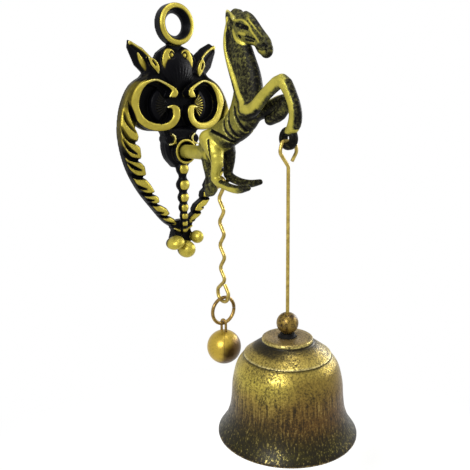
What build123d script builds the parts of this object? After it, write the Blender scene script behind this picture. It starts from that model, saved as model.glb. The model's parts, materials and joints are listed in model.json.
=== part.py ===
from build123d import *
import math
import os

os.makedirs("parts", exist_ok=True)

# Wall doorbell: a cast scroll plate carries a rearing horse, and the horse carries a bell
# on a wire and a ball striker on a wavy wire.
# All sizes are in millimetres. X runs along the wall, Y into the wall and Z upwards.
# The origin is the centre of the hanging eye on the flat back of the plate.
# "Out" is a distance out from the wall, so out = -Y.

# Sections that meet are this share of the rounder one, so that their surfaces never coincide
joint_ease = 0.97

# Hanging eye of the plate
eye_outer_radius = 9.25
eye_depth = 5.8
eye_bore_radius = 4.9
eye_bore_length = 2.4
eye_front_radius = 6.2
edge_round = 0.8

# Plate web and its raised work
web_thickness = 3.2
scroll_x = 14.8
scroll_z = -36.0
scroll_radius = 11.2
scroll_inner_radius = 8.1
scroll_mouth = 52.0
scroll_depth = 9.2
scroll_lean = 9.0
scroll_bevel = 0.7
scroll_tip_radius = 2.4
scroll_tip_x = 5.6
scroll_tip_upper_z = -30.9
scroll_tip_lower_z = -38.4
scroll_tip_proud = 0.6
fan_rib_count = 6
fan_rib_length = 11.0
fan_rib_width = 0.8
fan_rib_height = 0.9
fan_spread = 110.0
crest_depth = 7.0
crest_z = -20.5
dome_radius = 13.8
leaf_rib_count = 7
leaf_rib_radius = 0.75
leaf_rib_reach = [3.5, 8.0, 12.5]
leaf_spread = 84.0
leaf_root_z = -33.0
curl_x = 5.8
curl_z = -14.0
curl_radius = 2.8
curl_pit_radius = 1.1
curl_pit_depth = 1.2
curl_depth = 6.2
ear_depth = 4.4
ear_draft = 16.0
lower_curl_x = 6.0
lower_curl_z = -50.3
lower_curl_radius = 2.5
lower_curl_depth = 7.2
vase_depth = 6.0
foot_web_depth = 4.4

# Rope-twisted arms
arm_depth = 3.0
strand_count = 10
strand_out = 3.1
strand_thin_radius = 1.3
strand_thick_radius = 2.0
strand_start = 0.27
strand_end = 0.93
strand_slant = 0.055
strand_belly = 0.45
strand_bow = 0.9

# Beaded stem and the three balls at the foot
stem_out = 5.2
stem_neck_radius = 1.7
stem_top_z = -61.5
bead_radii = [3.0, 3.4, 3.0, 2.7, 2.4, 2.2, 2.0]
bead_pitch = 0.84
side_ball_x = 6.0
side_ball_z = -99.4
side_ball_radius = 3.3
side_ball_out = 5.8
middle_ball_z = -103.7
middle_ball_radius = 4.3
middle_ball_out = 5.2

# Boss that takes the horse's post, and its screw from behind
boss_z = -57.0
boss_radius = 5.9
boss_depth = 9.5
boss_recess_radius = 3.7
boss_floor_out = 5.0
screw_radius = 1.45
screw_clearance = 0.2
screw_head_radius = 2.8
screw_head_set_back = 0.3
screw_length = 12.5
screw_slot_width = 0.8
screw_slot_depth = 0.9
thread_clearance = 0.04
countersink_clearance = 0.2

# Horse
post_radius = 3.1
post_end_out = 27.0
groove_x = 6.1
groove_radius = 1.1
groove_end_radius = 1.3
hoof_x = -2.3
hoof_out = 80.2
hoof_z = -48.8
hoof_radius = 4.3
hoof_thickness = 3.4
hoof_hole_radius = 1.8
hoof_bevel = 0.7
striker_bar_out = 35.5
striker_bar_z = -69.4
striker_bar_radius = 1.2
striker_bar_reach = 3.6
pastern_out = 0.8
pastern_rise = 2.6

# Bell, its wire and what is threaded on it
bell_wire_radius = 0.7
link_gap = 0.15
bell_eye_half_width = 4.35
bell_eye_top_half_width = 3.2
bell_eye_shoulder_drop = 4.0
bell_eye_height = 9.4
bell_eye_end_gap = 1.9
bell_eye_bend = 1.5
bell_eye_side_bend = 2.2
bead_radius = 4.35
bead_z = -120.6
washer_radius = 3.7
washer_thickness = 1.4
bead_seat_depth = 0.25
running_clearance = 0.06
seat_gap = 0.08
crown_radius = 10.1
crown_drop = 0.6
ledge_radius = 17.35
ledge_z = -133.0
ledge_step = 0.45
bell_lip_radius = 28.0
bell_lip_z = -166.4
bell_wall = 1.7
crown_wall = 1.7
crown_flare_radius = 12.6
crown_flare_share = 0.675
crown_inner_set = 1.2
keeper_radius = 3.2
keeper_thickness = 0.8
tail_loop_radius = 2.1

# Striker: wavy wire, jump ring, staple and ball
striker_wire_radius = 0.85
striker_eye_radius = 2.45
wave_half_width = 1.9
wave_top_z = -76.5
half_wave_height = 5.25
half_wave_count = 8
wave_bend = 2.2
hook_half_width = 3.85
hook_bottom_z = -123.6
hook_side_height = 5.4
hook_bend = 3.7
hook_far_drop = 0.6
hook_end_height = 8.2
hook_end_out = 1.4
ring_wire_radius = 0.8
ring_radius = 6.1
ring_split = 0.4
staple_wire_radius = 0.6
staple_half_width = 1.6
ball_radius = 7.85
ball_gap_below_ring = 3.6
staple_set = 2.6


def side_view(x=0.0):
    """Plane seen from the horse's near side: local X is out from the wall, local Y is up."""
    return Plane(origin=(x, 0, 0), x_dir=(0, -1, 0), z_dir=(-1, 0, 0))


def front_view(out=0.0):
    """Plane parallel to the wall: local X is along the wall, local Y is up."""
    return Plane.XZ.offset(out)


def rod(radius, path):
    """Round wire of one radius along a path."""
    with BuildPart() as wire:
        with BuildSketch(Plane(origin=path @ 0, z_dir=path % 0)):
            Circle(radius)
        sweep(path=path)
    return wire.part


def limb(stations):
    """Rounded limb through stations of (x, out, z, radius)."""
    with BuildPart() as part:
        for x, out, z, radius in stations:
            with Locations((x, -out, z)):
                Sphere(radius)
        for (x0, out0, z0, r0), (x1, out1, z1, r1) in zip(stations, stations[1:]):
            start = Vector(x0, -out0, z0)
            run = Vector(x1, -out1, z1) - start
            with Locations(Plane(origin=start, z_dir=run)):
                if r0 == r1:
                    Cylinder(r0 * joint_ease, run.length, align=(Align.CENTER, Align.CENTER, Align.MIN))
                else:
                    Cone(r0 * joint_ease, r1 * joint_ease, run.length,
                         align=(Align.CENTER, Align.CENTER, Align.MIN))
    return part.part


def dome_out(x, z):
    """Distance out from the wall of the crest dome's surface at (x, z)."""
    return crest_depth - dome_radius + math.sqrt(dome_radius ** 2 - x ** 2 - (z - crest_z) ** 2)


def skin(sections):
    """Smooth body through ellipses of (out, z, heading, half width, half height)."""
    with BuildPart() as part:
        for out, z, heading, half_width, half_height in sections:
            run = Vector(0, -math.cos(math.radians(heading)), math.sin(math.radians(heading)))
            with BuildSketch(Plane(origin=(0, -out, z), x_dir=(1, 0, 0), z_dir=run)):
                Ellipse(half_width, half_height)
        loft()
    return part.part


# The plate's right half as outlines of (x, z); the left half is its mirror image.
crest_outline = [(0, -7.5), (4.5, -9.5), (9.5, -12.5), (12.5, -17.5), (17.5, -22.0), (21.5, -26.5)]
vase_outline = [(10.5, -47.0), (8.6, -50.5), (9.6, -55.5), (7.6, -60.5), (3.4, -64.5)]
ear_outline = [(9.5, -21.0), (12.6, -15.4), (17.2, -11.4), (23.2, -8.2), (22.4, -13.0), (18.8, -19.2),
               (14.0, -23.0)]
arm_outer_edge = [(16.0, -22.0), (23.8, -26.8), (28.8, -35.5), (30.9, -46.0), (30.0, -56.0), (27.1, -65.5),
                  (22.1, -74.8), (15.7, -83.5), (7.2, -92.5)]
arm_inner_edge = [(17.5, -27.0), (21.8, -32.0), (22.6, -40.0), (21.6, -49.0), (20.9, -56.0), (18.8, -64.5),
                  (14.8, -72.8), (9.4, -81.5), (3.4, -90.0)]
foot_outline = [(0, -87.5), (4.4, -88.6), (6.4, -92.3), (5.0, -96.0), (4.8, -99.5), (0, -104.0)]

with BuildPart() as scroll:
    # Band: a bevelled section turned most of the way round the scroll's centre
    scroll_axis = Axis((scroll_x, 0, scroll_z), (0, -1, 0))
    mouth_angle = math.radians(180 - scroll_mouth / 2)
    mouth_cos = math.cos(mouth_angle)
    mouth_sin = math.sin(mouth_angle)
    band_start = Plane(origin=(scroll_x, 0, scroll_z), x_dir=(mouth_cos, 0, mouth_sin),
                       z_dir=(mouth_sin, 0, -mouth_cos))
    with BuildSketch(band_start):
        with BuildLine():
            Polyline((scroll_inner_radius, 0), (scroll_inner_radius, scroll_depth - scroll_bevel),
                     (scroll_inner_radius + scroll_bevel, scroll_depth),
                     (scroll_radius - scroll_bevel, scroll_depth),
                     (scroll_radius, scroll_depth - scroll_bevel), (scroll_radius, 0), close=True)
        make_face()
    revolve(axis=scroll_axis, revolution_arc=360 - scroll_mouth)
    # Bulbed tips
    with BuildSketch(front_view()):
        with Locations((scroll_tip_x, scroll_tip_upper_z), (scroll_tip_x, scroll_tip_lower_z)):
            Circle(scroll_tip_radius)
    extrude(amount=scroll_depth + scroll_tip_proud)

with BuildPart() as wall_plate:
    # Flat web: crest, scroll discs and the vase behind the boss
    with BuildSketch(front_view()):
        with BuildLine():
            Polyline(*crest_outline, (scroll_x, scroll_z), vase_outline[0], *vase_outline[1:],
                     (0, vase_outline[-1][1]), close=True)
        make_face()
        with Locations((scroll_x, scroll_z)):
            Circle(scroll_radius)
    extrude(amount=web_thickness)
    with BuildSketch(front_view()):
        with BuildLine():
            vase_edge = Spline(*vase_outline)
            Polyline(vase_edge @ 1, (0, vase_outline[-1][1]), (0, vase_outline[0][1]), vase_edge @ 0)
        make_face()
    extrude(amount=vase_depth)

    # Crest: a shallow dome under the hanging eye
    with Locations((0, dome_radius - crest_depth, crest_z)):
        Sphere(dome_radius)

    # C-scroll, leaning back towards its outer side
    add(scroll.part, rotation=(0, 0, scroll_lean))

    # Fan of ribs on the floor of the scroll
    fan_step = fan_spread / (fan_rib_count - 1)
    for index in range(fan_rib_count):
        fan_angle = -fan_spread / 2 + index * fan_step
        with BuildSketch(front_view(web_thickness)):
            with Locations(Location((scroll_tip_x, scroll_z, 0), (0, 0, fan_angle))):
                Rectangle(fan_rib_length, fan_rib_width, align=(Align.MIN, Align.CENTER))
        extrude(amount=fan_rib_height)

    # Pointed ear leaf
    with BuildSketch(front_view()):
        with BuildLine():
            Polyline(*ear_outline, close=True)
        make_face()
    extrude(amount=ear_depth, taper=ear_draft)

    # Small curls above and below the scrolls
    with BuildSketch(front_view()):
        with Locations((curl_x, curl_z)):
            Circle(curl_radius)
    extrude(amount=curl_depth)
    with BuildSketch(front_view(curl_depth)):
        with Locations((curl_x, curl_z)):
            Circle(curl_pit_radius)
    extrude(amount=-curl_pit_depth, mode=Mode.SUBTRACT)
    with BuildSketch(front_view()):
        with Locations((lower_curl_x, lower_curl_z)):
            Circle(lower_curl_radius)
    extrude(amount=lower_curl_depth)

    # Arm of the heart, then its slanting rope strands
    with BuildSketch(front_view()):
        with BuildLine():
            outer_edge = Spline(*arm_outer_edge)
            inner_edge = Spline(*arm_inner_edge)
            Line(outer_edge @ 0, inner_edge @ 0)
            Line(outer_edge @ 1, inner_edge @ 1)
        make_face()
    extrude(amount=arm_depth)
    for index in range(strand_count):
        along = strand_start + (strand_end - strand_start) * index / (strand_count - 1)
        outer_point = outer_edge.position_at(along - strand_slant)
        inner_point = inner_edge.position_at(along + strand_slant)
        across = (inner_point - outer_point).normalized()
        thin_end = outer_point + across * strand_thin_radius
        thick_end = inner_point - across * strand_thick_radius
        belly = thin_end + (thick_end - thin_end) * strand_belly - Vector(0, strand_bow)
        add(limb([(thin_end.X, strand_out, thin_end.Y, strand_thin_radius),
                  (belly.X, strand_out, belly.Y, strand_thick_radius),
                  (thick_end.X, strand_out, thick_end.Y, strand_thick_radius)]))
    with BuildSketch(front_view()):
        with BuildLine():
            Polyline(*foot_outline, close=True)
        make_face()
    extrude(amount=foot_web_depth)

    # Round-fronted ball at the arm's foot
    with Locations((side_ball_x, -side_ball_out, side_ball_z)):
        Sphere(side_ball_radius)
    with BuildSketch(front_view()):
        with Locations((side_ball_x, side_ball_z)):
            Circle(side_ball_radius * joint_ease)
    extrude(amount=side_ball_out)
    mirror(about=Plane.YZ)

    # Veins of the crest leaf, fanned about the middle and lying on the dome
    leaf_step = leaf_spread / (leaf_rib_count - 1)
    for index in range(leaf_rib_count):
        leaf_angle = math.radians(90 - leaf_spread / 2 + index * leaf_step)
        vein = []
        for reach in leaf_rib_reach:
            vein_x = reach * math.cos(leaf_angle)
            vein_z = leaf_root_z + reach * math.sin(leaf_angle)
            vein.append((vein_x, dome_out(vein_x, vein_z), vein_z, leaf_rib_radius))
        add(limb(vein))

    # Hanging eye: a bore at the wall that opens towards the front
    with BuildSketch(Plane.XY):
        with BuildLine():
            Polyline((0, 0), (eye_outer_radius, 0), (eye_outer_radius, edge_round - eye_depth),
                     (eye_outer_radius - edge_round, -eye_depth), (0, -eye_depth), close=True)
        make_face()
    revolve(axis=Axis.Y)
    with BuildSketch(Plane.XY):
        with BuildLine():
            Polyline((0, 0), (eye_bore_radius, 0), (eye_bore_radius, -eye_bore_length),
                     (eye_front_radius, -eye_depth), (0, -eye_depth), close=True)
        make_face()
    revolve(axis=Axis.Y, mode=Mode.SUBTRACT)

    # Beaded stem
    stem_axis = Axis((0, -stem_out, 0), (0, 0, 1))
    with BuildSketch(front_view(stem_out)):
        with BuildLine():
            bead_top = stem_top_z
            for bead in bead_radii:
                bead_bottom = bead_top - bead * 2 * bead_pitch
                ThreePointArc((stem_neck_radius, bead_top), (bead, (bead_top + bead_bottom) / 2),
                              (stem_neck_radius, bead_bottom))
                bead_top = bead_bottom
            Polyline((stem_neck_radius, bead_top), (0, bead_top), (0, stem_top_z),
                     (stem_neck_radius, stem_top_z))
        make_face()
    revolve(axis=stem_axis)

    # Middle ball
    with Locations((0, -middle_ball_out, middle_ball_z)):
        Sphere(middle_ball_radius)
    with BuildSketch(front_view()):
        with Locations((0, middle_ball_z)):
            Circle(middle_ball_radius * joint_ease)
    extrude(amount=middle_ball_out)

    # Boss with its recess and the countersunk screw hole
    with BuildSketch(front_view()):
        with Locations((0, boss_z)):
            Circle(boss_radius)
    extrude(amount=boss_depth)
    with BuildSketch(front_view(boss_floor_out)):
        with Locations((0, boss_z)):
            Circle(boss_recess_radius)
    extrude(amount=boss_depth, mode=Mode.SUBTRACT)
    split(bisect_by=Plane.XZ, keep=Keep.TOP)
    sink_radius = screw_head_radius + screw_head_set_back + countersink_clearance
    hole_radius = screw_radius + screw_clearance
    with BuildSketch(front_view()):
        with Locations((0, boss_z)):
            Circle(hole_radius)
    extrude(amount=boss_depth, mode=Mode.SUBTRACT)
    with Locations(Plane(origin=(0, 0, boss_z), z_dir=(0, -1, 0))):
        Cone(sink_radius, hole_radius, sink_radius - hole_radius,
             align=(Align.CENTER, Align.CENTER, Align.MIN), mode=Mode.SUBTRACT)
wall_plate.part.label = "wall_plate"
export_step(wall_plate.part, "parts/wall_plate.step")

with BuildPart() as fixing_screw:
    # Head flush in the back, shank along -Y into the horse's post
    head_out = screw_head_set_back
    with BuildSketch(Plane.XY.offset(boss_z)):
        with BuildLine():
            Polyline((0, -head_out), (screw_head_radius, -head_out),
                     (screw_radius, -head_out - screw_head_radius + screw_radius),
                     (screw_radius, -screw_length), (0, -screw_length), close=True)
        make_face()
    revolve(axis=Axis((0, 0, boss_z), (0, 1, 0)))
    with BuildSketch(front_view(head_out)):
        with Locations((0, boss_z)):
            Rectangle(screw_head_radius * 2, screw_slot_width)
    extrude(amount=screw_slot_depth, mode=Mode.SUBTRACT)
fixing_screw.part.label = "fixing_screw"
export_step(fixing_screw.part, "parts/fixing_screw.step")

# Horse: sections run from the rump through the neck, and limbs from the body to the hoofs.
trunk_sections = [(25.0, -54.0, 15, 3.4, 3.6), (30.6, -51.9, 20, 4.9, 5.6), (36.6, -49.5, 24, 5.4, 6.4),
                  (43.8, -46.4, 28, 5.3, 6.6), (50.0, -42.3, 38, 5.4, 7.6), (54.2, -36.3, 62, 5.0, 8.4),
                  (54.2, -28.0, 92, 4.3, 7.5), (50.9, -20.0, 106, 3.9, 7.0), (48.3, -12.0, 106, 3.6, 6.0),
                  (46.6, -5.5, 100, 3.2, 4.3)]
head_sections = [(43.7, -2.4, -30, 2.0, 2.8), (46.8, -3.9, -32, 3.2, 5.2), (51.7, -6.2, -34, 3.7, 6.3),
                 (56.3, -8.9, -36, 3.3, 5.4), (60.8, -12.1, -37, 2.6, 3.9), (65.1, -15.3, -40, 2.4, 3.8),
                 (67.2, -17.3, -44, 1.7, 2.6)]
near_ear = [(-2.3, 49.0, -3.4, 1.9), (-2.6, 46.0, -1.2, 1.6), (-2.6, 43.8, 0.7, 0.7)]
mane_ridge = [(-3.0, 46.4, -5.5, 1.0), (-3.0, 45.0, -12.5, 1.2), (-3.2, 46.6, -20.0, 1.2),
              (-3.5, 50.0, -27.0, 1.4), (-4.0, 53.6, -33.0, 1.6), (-4.2, 58.2, -38.4, 2.1)]
near_foreleg = [(-3.8, 56.5, -38.6, 3.2), (-4.0, 62.2, -38.4, 2.7), (-3.9, 69.5, -32.6, 2.4),
                (-3.8, 78.6, -28.4, 2.6), (-3.6, 83.4, -34.4, 2.3), (-3.3, 84.8, -39.5, 2.5),
                (-2.7, 83.4, -43.6, 2.4), (hoof_x, hoof_out + pastern_out, hoof_z + pastern_rise, 2.0)]
far_foreleg = [(3.6, 54.5, -39.5, 3.4), (3.8, 62.0, -38.2, 3.2), (3.8, 71.0, -35.4, 3.0),
               (3.8, 68.6, -40.0, 2.7), (3.7, 63.0, -42.4, 2.5)]
near_hind_leg = [(-3.4, 33.4, -51.0, 4.3), (-3.8, 37.0, -55.0, 4.1), (-4.0, 38.0, -60.5, 3.1),
                 (-4.0, 36.0, -67.2, 2.4), (-4.0, 45.5, -69.4, 2.1), (-4.0, 53.5, -69.9, 2.0),
                 (-4.0, 61.0, -68.6, 1.5)]
far_hind_leg = [(3.4, 32.0, -50.8, 4.4), (3.8, 34.6, -55.0, 3.8), (4.0, 34.4, -60.0, 2.7),
                (4.0, 34.4, -66.0, 2.3), (4.0, 42.5, -68.4, 2.0), (4.0, 50.0, -68.8, 1.9),
                (4.0, 56.6, -67.5, 1.4)]
tail = [(0, 26.0, -55.0, 3.0), (0, 25.6, -61.0, 2.7), (0, 27.0, -66.4, 2.0),
        (0, 28.2, -71.8, 3.1), (0, 25.6, -74.0, 1.5)]
flank_grooves = [((39.6, -41.6), (45.0, -49.0)), ((42.8, -39.8), (48.6, -48.2)),
                 ((46.2, -38.2), (52.0, -46.6))]
eye_place = (3.1, 54.6, -7.0)
eye_radius = 1.3

with BuildPart() as horse:
    add(skin(trunk_sections))
    add(skin(head_sections))
    for chain in (near_foreleg, far_foreleg, near_hind_leg, far_hind_leg, tail, mane_ridge, near_ear):
        add(limb(chain))
    for side in (-1, 1):
        with Locations((side * eye_place[0], -eye_place[1], eye_place[2])):
            Sphere(eye_radius)
    far_ear = [(-x, out, z, radius) for x, out, z, radius in near_ear]
    far_ridge = [(-x, out, z, radius) for x, out, z, radius in mane_ridge]
    add(limb(far_ear))
    add(limb(far_ridge))

    # Grooves between the ribs on both flanks
    for side in (-1, 1):
        for (out0, z0), (out1, z1) in flank_grooves:
            add(limb([(side * groove_x, out0, z0, groove_radius),
                      (side * groove_x, out1, z1, groove_end_radius)]), mode=Mode.SUBTRACT)

    # Post to the boss, with the pilot hole for the screw
    with BuildSketch(front_view(boss_floor_out)):
        with Locations((0, boss_z)):
            Circle(post_radius)
    extrude(amount=post_end_out - boss_floor_out)
    with BuildSketch(front_view(boss_floor_out)):
        with Locations((0, boss_z)):
            Circle(screw_radius + thread_clearance)
    extrude(amount=screw_length - boss_floor_out + seat_gap, mode=Mode.SUBTRACT)

    # Bar between the hocks that the wavy wire hangs on
    with BuildSketch(side_view(-striker_bar_reach)):
        with Locations((striker_bar_out, striker_bar_z)):
            Circle(striker_bar_radius)
    extrude(amount=-2 * striker_bar_reach)

    # Ring hoof with bevelled edges
    half_thickness = hoof_thickness / 2
    with BuildSketch(Plane(origin=(hoof_x, -hoof_out, hoof_z), x_dir=(1, 0, 0), z_dir=(0, -1, 0))):
        with BuildLine():
            Polyline((-half_thickness, 0), (-half_thickness, hoof_radius - hoof_bevel),
                     (hoof_bevel - half_thickness, hoof_radius), (half_thickness - hoof_bevel, hoof_radius),
                     (half_thickness, hoof_radius - hoof_bevel), (half_thickness, 0), close=True)
        make_face()
    revolve(axis=Axis((hoof_x, -hoof_out, hoof_z), (1, 0, 0)))
    with BuildSketch(side_view(hoof_x - hoof_thickness)):
        with Locations((hoof_out, hoof_z)):
            Circle(hoof_hole_radius)
    extrude(amount=-2 * hoof_thickness, mode=Mode.SUBTRACT)
horse.part.label = "horse"
export_step(horse.part, "parts/horse.step")

# Bell wire: an eye through the ring hoof, a straight drop, and a tail loop inside the bell
pivot_z = hoof_z - hoof_hole_radius + bell_wire_radius + link_gap
eye_shoulder_z = pivot_z - bell_eye_shoulder_drop
eye_foot_z = pivot_z - bell_eye_height
bead_bottom_z = bead_z - bead_radius + bead_seat_depth
crown_z = bead_bottom_z - washer_thickness - seat_gap
keeper_top_z = crown_z - crown_wall - seat_gap
keeper_bottom_z = keeper_top_z - keeper_thickness
tail_loop_z = keeper_bottom_z - bell_wire_radius - tail_loop_radius - seat_gap
with BuildPart() as bell_wire:
    wire_plane = Plane(origin=(hoof_x, -hoof_out, 0), x_dir=(1, 0, 0), z_dir=(0, -1, 0))
    with BuildLine(wire_plane) as bell_wire_path:
        eye_run = FilletPolyline(
            (bell_eye_end_gap, eye_foot_z + bell_eye_end_gap), (bell_eye_half_width, eye_shoulder_z),
            (bell_eye_top_half_width, pivot_z), (-bell_eye_top_half_width, pivot_z),
            (-bell_eye_half_width, eye_shoulder_z), (0, eye_foot_z), (0, tail_loop_z),
            radius=[bell_eye_side_bend, bell_eye_bend, bell_eye_bend, bell_eye_side_bend, bell_eye_bend])
        CenterArc((tail_loop_radius, tail_loop_z), tail_loop_radius, 180, 300)
    add(rod(bell_wire_radius, bell_wire_path.wires()[0]))
bell_wire.part.label = "bell_wire"
export_step(bell_wire.part, "parts/bell_wire.step")

wire_hole_radius = bell_wire_radius + running_clearance
hang_axis = Axis((hoof_x, -hoof_out, 0), (0, 0, 1))

with BuildPart() as top_bead:
    with Locations((hoof_x, -hoof_out, bead_z)):
        Sphere(bead_radius)
    split(bisect_by=Plane.XY.offset(bead_bottom_z), keep=Keep.TOP)
    with Locations((hoof_x, -hoof_out, bead_z)):
        Cylinder(wire_hole_radius, 3 * bead_radius, mode=Mode.SUBTRACT)
top_bead.part.label = "top_bead"
export_step(top_bead.part, "parts/top_bead.step")

with BuildPart() as bead_washer:
    with BuildSketch(Plane(origin=(hoof_x, -hoof_out, bead_bottom_z))):
        Circle(washer_radius)
        Circle(wire_hole_radius, mode=Mode.SUBTRACT)
    extrude(amount=-washer_thickness)
bead_washer.part.label = "bead_washer"
export_step(bead_washer.part, "parts/bead_washer.step")

with BuildPart() as keeper_washer:
    with BuildSketch(Plane(origin=(hoof_x, -hoof_out, keeper_top_z))):
        Circle(keeper_radius)
        Circle(wire_hole_radius, mode=Mode.SUBTRACT)
    extrude(amount=-keeper_thickness)
keeper_washer.part.label = "keeper_washer"
export_step(keeper_washer.part, "parts/keeper_washer.step")

# Bell: radii at shares of the height from the lip to the ledge,
# then outlines of (radius, height above the lip)
body_profile = [(20.3, 0.86), (21.9, 0.67), (22.4, 0.48), (23.2, 0.31), (25.0, 0.16)]
ledge_height = ledge_z - bell_lip_z
crown_height = crown_z - bell_lip_z
crown_edge_height = crown_height - crown_drop
shoulder_outline = [(ledge_radius + ledge_step, ledge_height - ledge_step)]
shoulder_outline += [(radius, share * ledge_height) for radius, share in body_profile]
shoulder_outline += [(bell_lip_radius, 0.0)]
flare_height = ledge_height + crown_flare_share * (crown_edge_height - ledge_height)
crown_outline = [(crown_radius, crown_edge_height), (crown_flare_radius, flare_height),
                 (ledge_radius, ledge_height)]
with BuildPart() as bell_shell:
    with BuildSketch(Plane(origin=(hoof_x, -hoof_out, bell_lip_z), x_dir=(1, 0, 0), z_dir=(0, -1, 0))):
        with BuildLine():
            crown_edge = Spline(*crown_outline)
            body_edge = Spline(*shoulder_outline)
            Line(crown_edge @ 1, body_edge @ 0)
            inner_body = Spline(*[(radius - bell_wall, height) for radius, height in shoulder_outline])
            Line(body_edge @ 1, inner_body @ 1)
            inner_top = crown_height - crown_wall
            Polyline(inner_body @ 0, (crown_flare_radius - crown_inner_set, flare_height - crown_inner_set),
                     (crown_radius - crown_inner_set, inner_top), (wire_hole_radius, inner_top),
                     (wire_hole_radius, crown_height), (washer_radius + crown_drop, crown_height),
                     crown_edge @ 0)
        make_face()
    revolve(axis=hang_axis)
bell_shell.part.label = "bell_shell"
export_step(bell_shell.part, "parts/bell_shell.step")

# Wavy striker wire: eye round the bar, waves, then a hook for the ring
eye_drop = striker_eye_radius - striker_wire_radius - striker_bar_radius - link_gap
striker_eye_z = striker_bar_z - eye_drop
wave_points = []
for index in range(half_wave_count):
    wave_offset = -wave_half_width if index % 2 == 0 else wave_half_width
    wave_points.append((striker_bar_out + wave_offset, wave_top_z - index * half_wave_height))
hook_top_z = hook_bottom_z + hook_side_height
hook_points = [(striker_bar_out - hook_half_width, hook_top_z),
               (striker_bar_out - hook_half_width, hook_bottom_z),
               (striker_bar_out + hook_half_width, hook_bottom_z),
               (striker_bar_out + hook_half_width, hook_top_z - hook_far_drop),
               (striker_bar_out + hook_end_out, hook_bottom_z + hook_end_height)]
with BuildPart() as striker_wire:
    with BuildLine(side_view()) as striker_path:
        top_eye = CenterArc((striker_bar_out, striker_eye_z), striker_eye_radius, 230, -260)
        FilletPolyline(top_eye @ 1, *wave_points, *hook_points,
                       radius=[wave_bend] * len(wave_points) + [wave_bend, hook_bend, hook_bend, wave_bend])
    add(rod(striker_wire_radius, striker_path.wires()[0]))
striker_wire.part.label = "striker_wire"
export_step(striker_wire.part, "parts/striker_wire.step")

# Jump ring, hung in the hook
ring_z = hook_bottom_z + striker_wire_radius + link_gap + ring_wire_radius - ring_radius
split_angle = math.degrees(ring_split / ring_radius)
with BuildPart() as jump_ring:
    with BuildSketch(Plane(origin=(0, -striker_bar_out, ring_z), x_dir=(1, 0, 0), z_dir=(0, 0, 1))):
        with Locations((ring_radius, 0)):
            Circle(ring_wire_radius)
    revolve(axis=Axis((0, -striker_bar_out, ring_z), (0, 1, 0)), revolution_arc=360 - split_angle)
jump_ring.part.label = "jump_ring"
export_step(jump_ring.part, "parts/jump_ring.step")

# Staple and ball
ring_foot_z = ring_z - ring_radius
staple_arc_z = ring_foot_z + ring_wire_radius + link_gap + staple_wire_radius - staple_half_width
ball_z = ring_foot_z - ball_gap_below_ring - ball_radius
staple_end_z = ball_z + ball_radius - staple_set
with BuildPart() as ball_staple:
    with BuildLine(side_view()) as staple_path:
        inner_leg_out = striker_bar_out - staple_half_width
        outer_leg_out = striker_bar_out + staple_half_width
        Line((inner_leg_out, staple_end_z), (inner_leg_out, staple_arc_z))
        CenterArc((striker_bar_out, staple_arc_z), staple_half_width, 180, -180)
        Line((outer_leg_out, staple_arc_z), (outer_leg_out, staple_end_z))
    add(rod(staple_wire_radius, staple_path.wires()[0]))
ball_staple.part.label = "ball_staple"
export_step(ball_staple.part, "parts/ball_staple.step")

with BuildPart() as striker_ball:
    with Locations((0, -striker_bar_out, ball_z)):
        Sphere(ball_radius)
    with BuildSketch(Plane(origin=(0, -striker_bar_out, staple_end_z))):
        with Locations((0, staple_half_width), (0, -staple_half_width)):
            Circle(staple_wire_radius + thread_clearance)
    extrude(amount=ball_radius, mode=Mode.SUBTRACT)
striker_ball.part.label = "striker_ball"
export_step(striker_ball.part, "parts/striker_ball.step")

print("bell pivot z", round(pivot_z, 3), "striker pivot z", striker_bar_z)
print("ring pivot z", hook_bottom_z, "ball pivot z", round(ring_foot_z, 3), "ball z", round(ball_z, 3))
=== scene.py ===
# %% [markdown]
# # A wall doorbell in cast metal and brass
#
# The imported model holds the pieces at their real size, and this lesson gives them their looks.
# Two pieces are castings, a scroll plate and a rearing horse, whose relief is far too soft and fine for
# plain solids, so they are modelled again in clay. The rest is wire and turned brass, which keeps its shape.

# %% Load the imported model
import json
import math
import bpy
import numpy as np
import openvdb
from mathutils import Matrix, Vector


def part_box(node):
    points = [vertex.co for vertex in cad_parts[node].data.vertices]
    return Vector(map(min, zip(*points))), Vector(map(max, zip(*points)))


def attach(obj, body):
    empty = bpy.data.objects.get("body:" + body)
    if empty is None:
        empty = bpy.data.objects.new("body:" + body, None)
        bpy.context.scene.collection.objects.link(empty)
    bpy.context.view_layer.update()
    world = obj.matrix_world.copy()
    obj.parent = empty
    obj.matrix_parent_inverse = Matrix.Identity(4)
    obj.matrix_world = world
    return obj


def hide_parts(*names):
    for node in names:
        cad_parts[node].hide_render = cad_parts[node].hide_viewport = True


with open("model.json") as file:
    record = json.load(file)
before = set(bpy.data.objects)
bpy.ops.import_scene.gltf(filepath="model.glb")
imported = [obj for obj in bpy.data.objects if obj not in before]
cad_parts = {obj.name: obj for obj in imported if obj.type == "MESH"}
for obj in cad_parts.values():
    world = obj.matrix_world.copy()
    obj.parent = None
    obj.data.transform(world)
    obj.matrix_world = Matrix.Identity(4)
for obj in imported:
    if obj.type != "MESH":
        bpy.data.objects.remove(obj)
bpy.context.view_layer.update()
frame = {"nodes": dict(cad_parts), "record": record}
mm = 0.001
print("nodes:", sorted(frame["nodes"]))

# %% [markdown]
# ## Camera
#
# The photograph was taken from the left of the plate and a little above the bell. The angles come from a
# pinhole camera fitted to the eye, the balls, the horse and the bell's rims. A camera's own axes are its
# right, its up and the direction behind it, and those three are the columns of its matrix.

# %% Camera
view_azimuth = math.radians(-38.414)
view_pitch = math.radians(12.137)
view_roll = math.radians(-0.794)
view_place = Vector((-0.154225, -0.239271, -0.037805))
view_lens = 44.986

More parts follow.
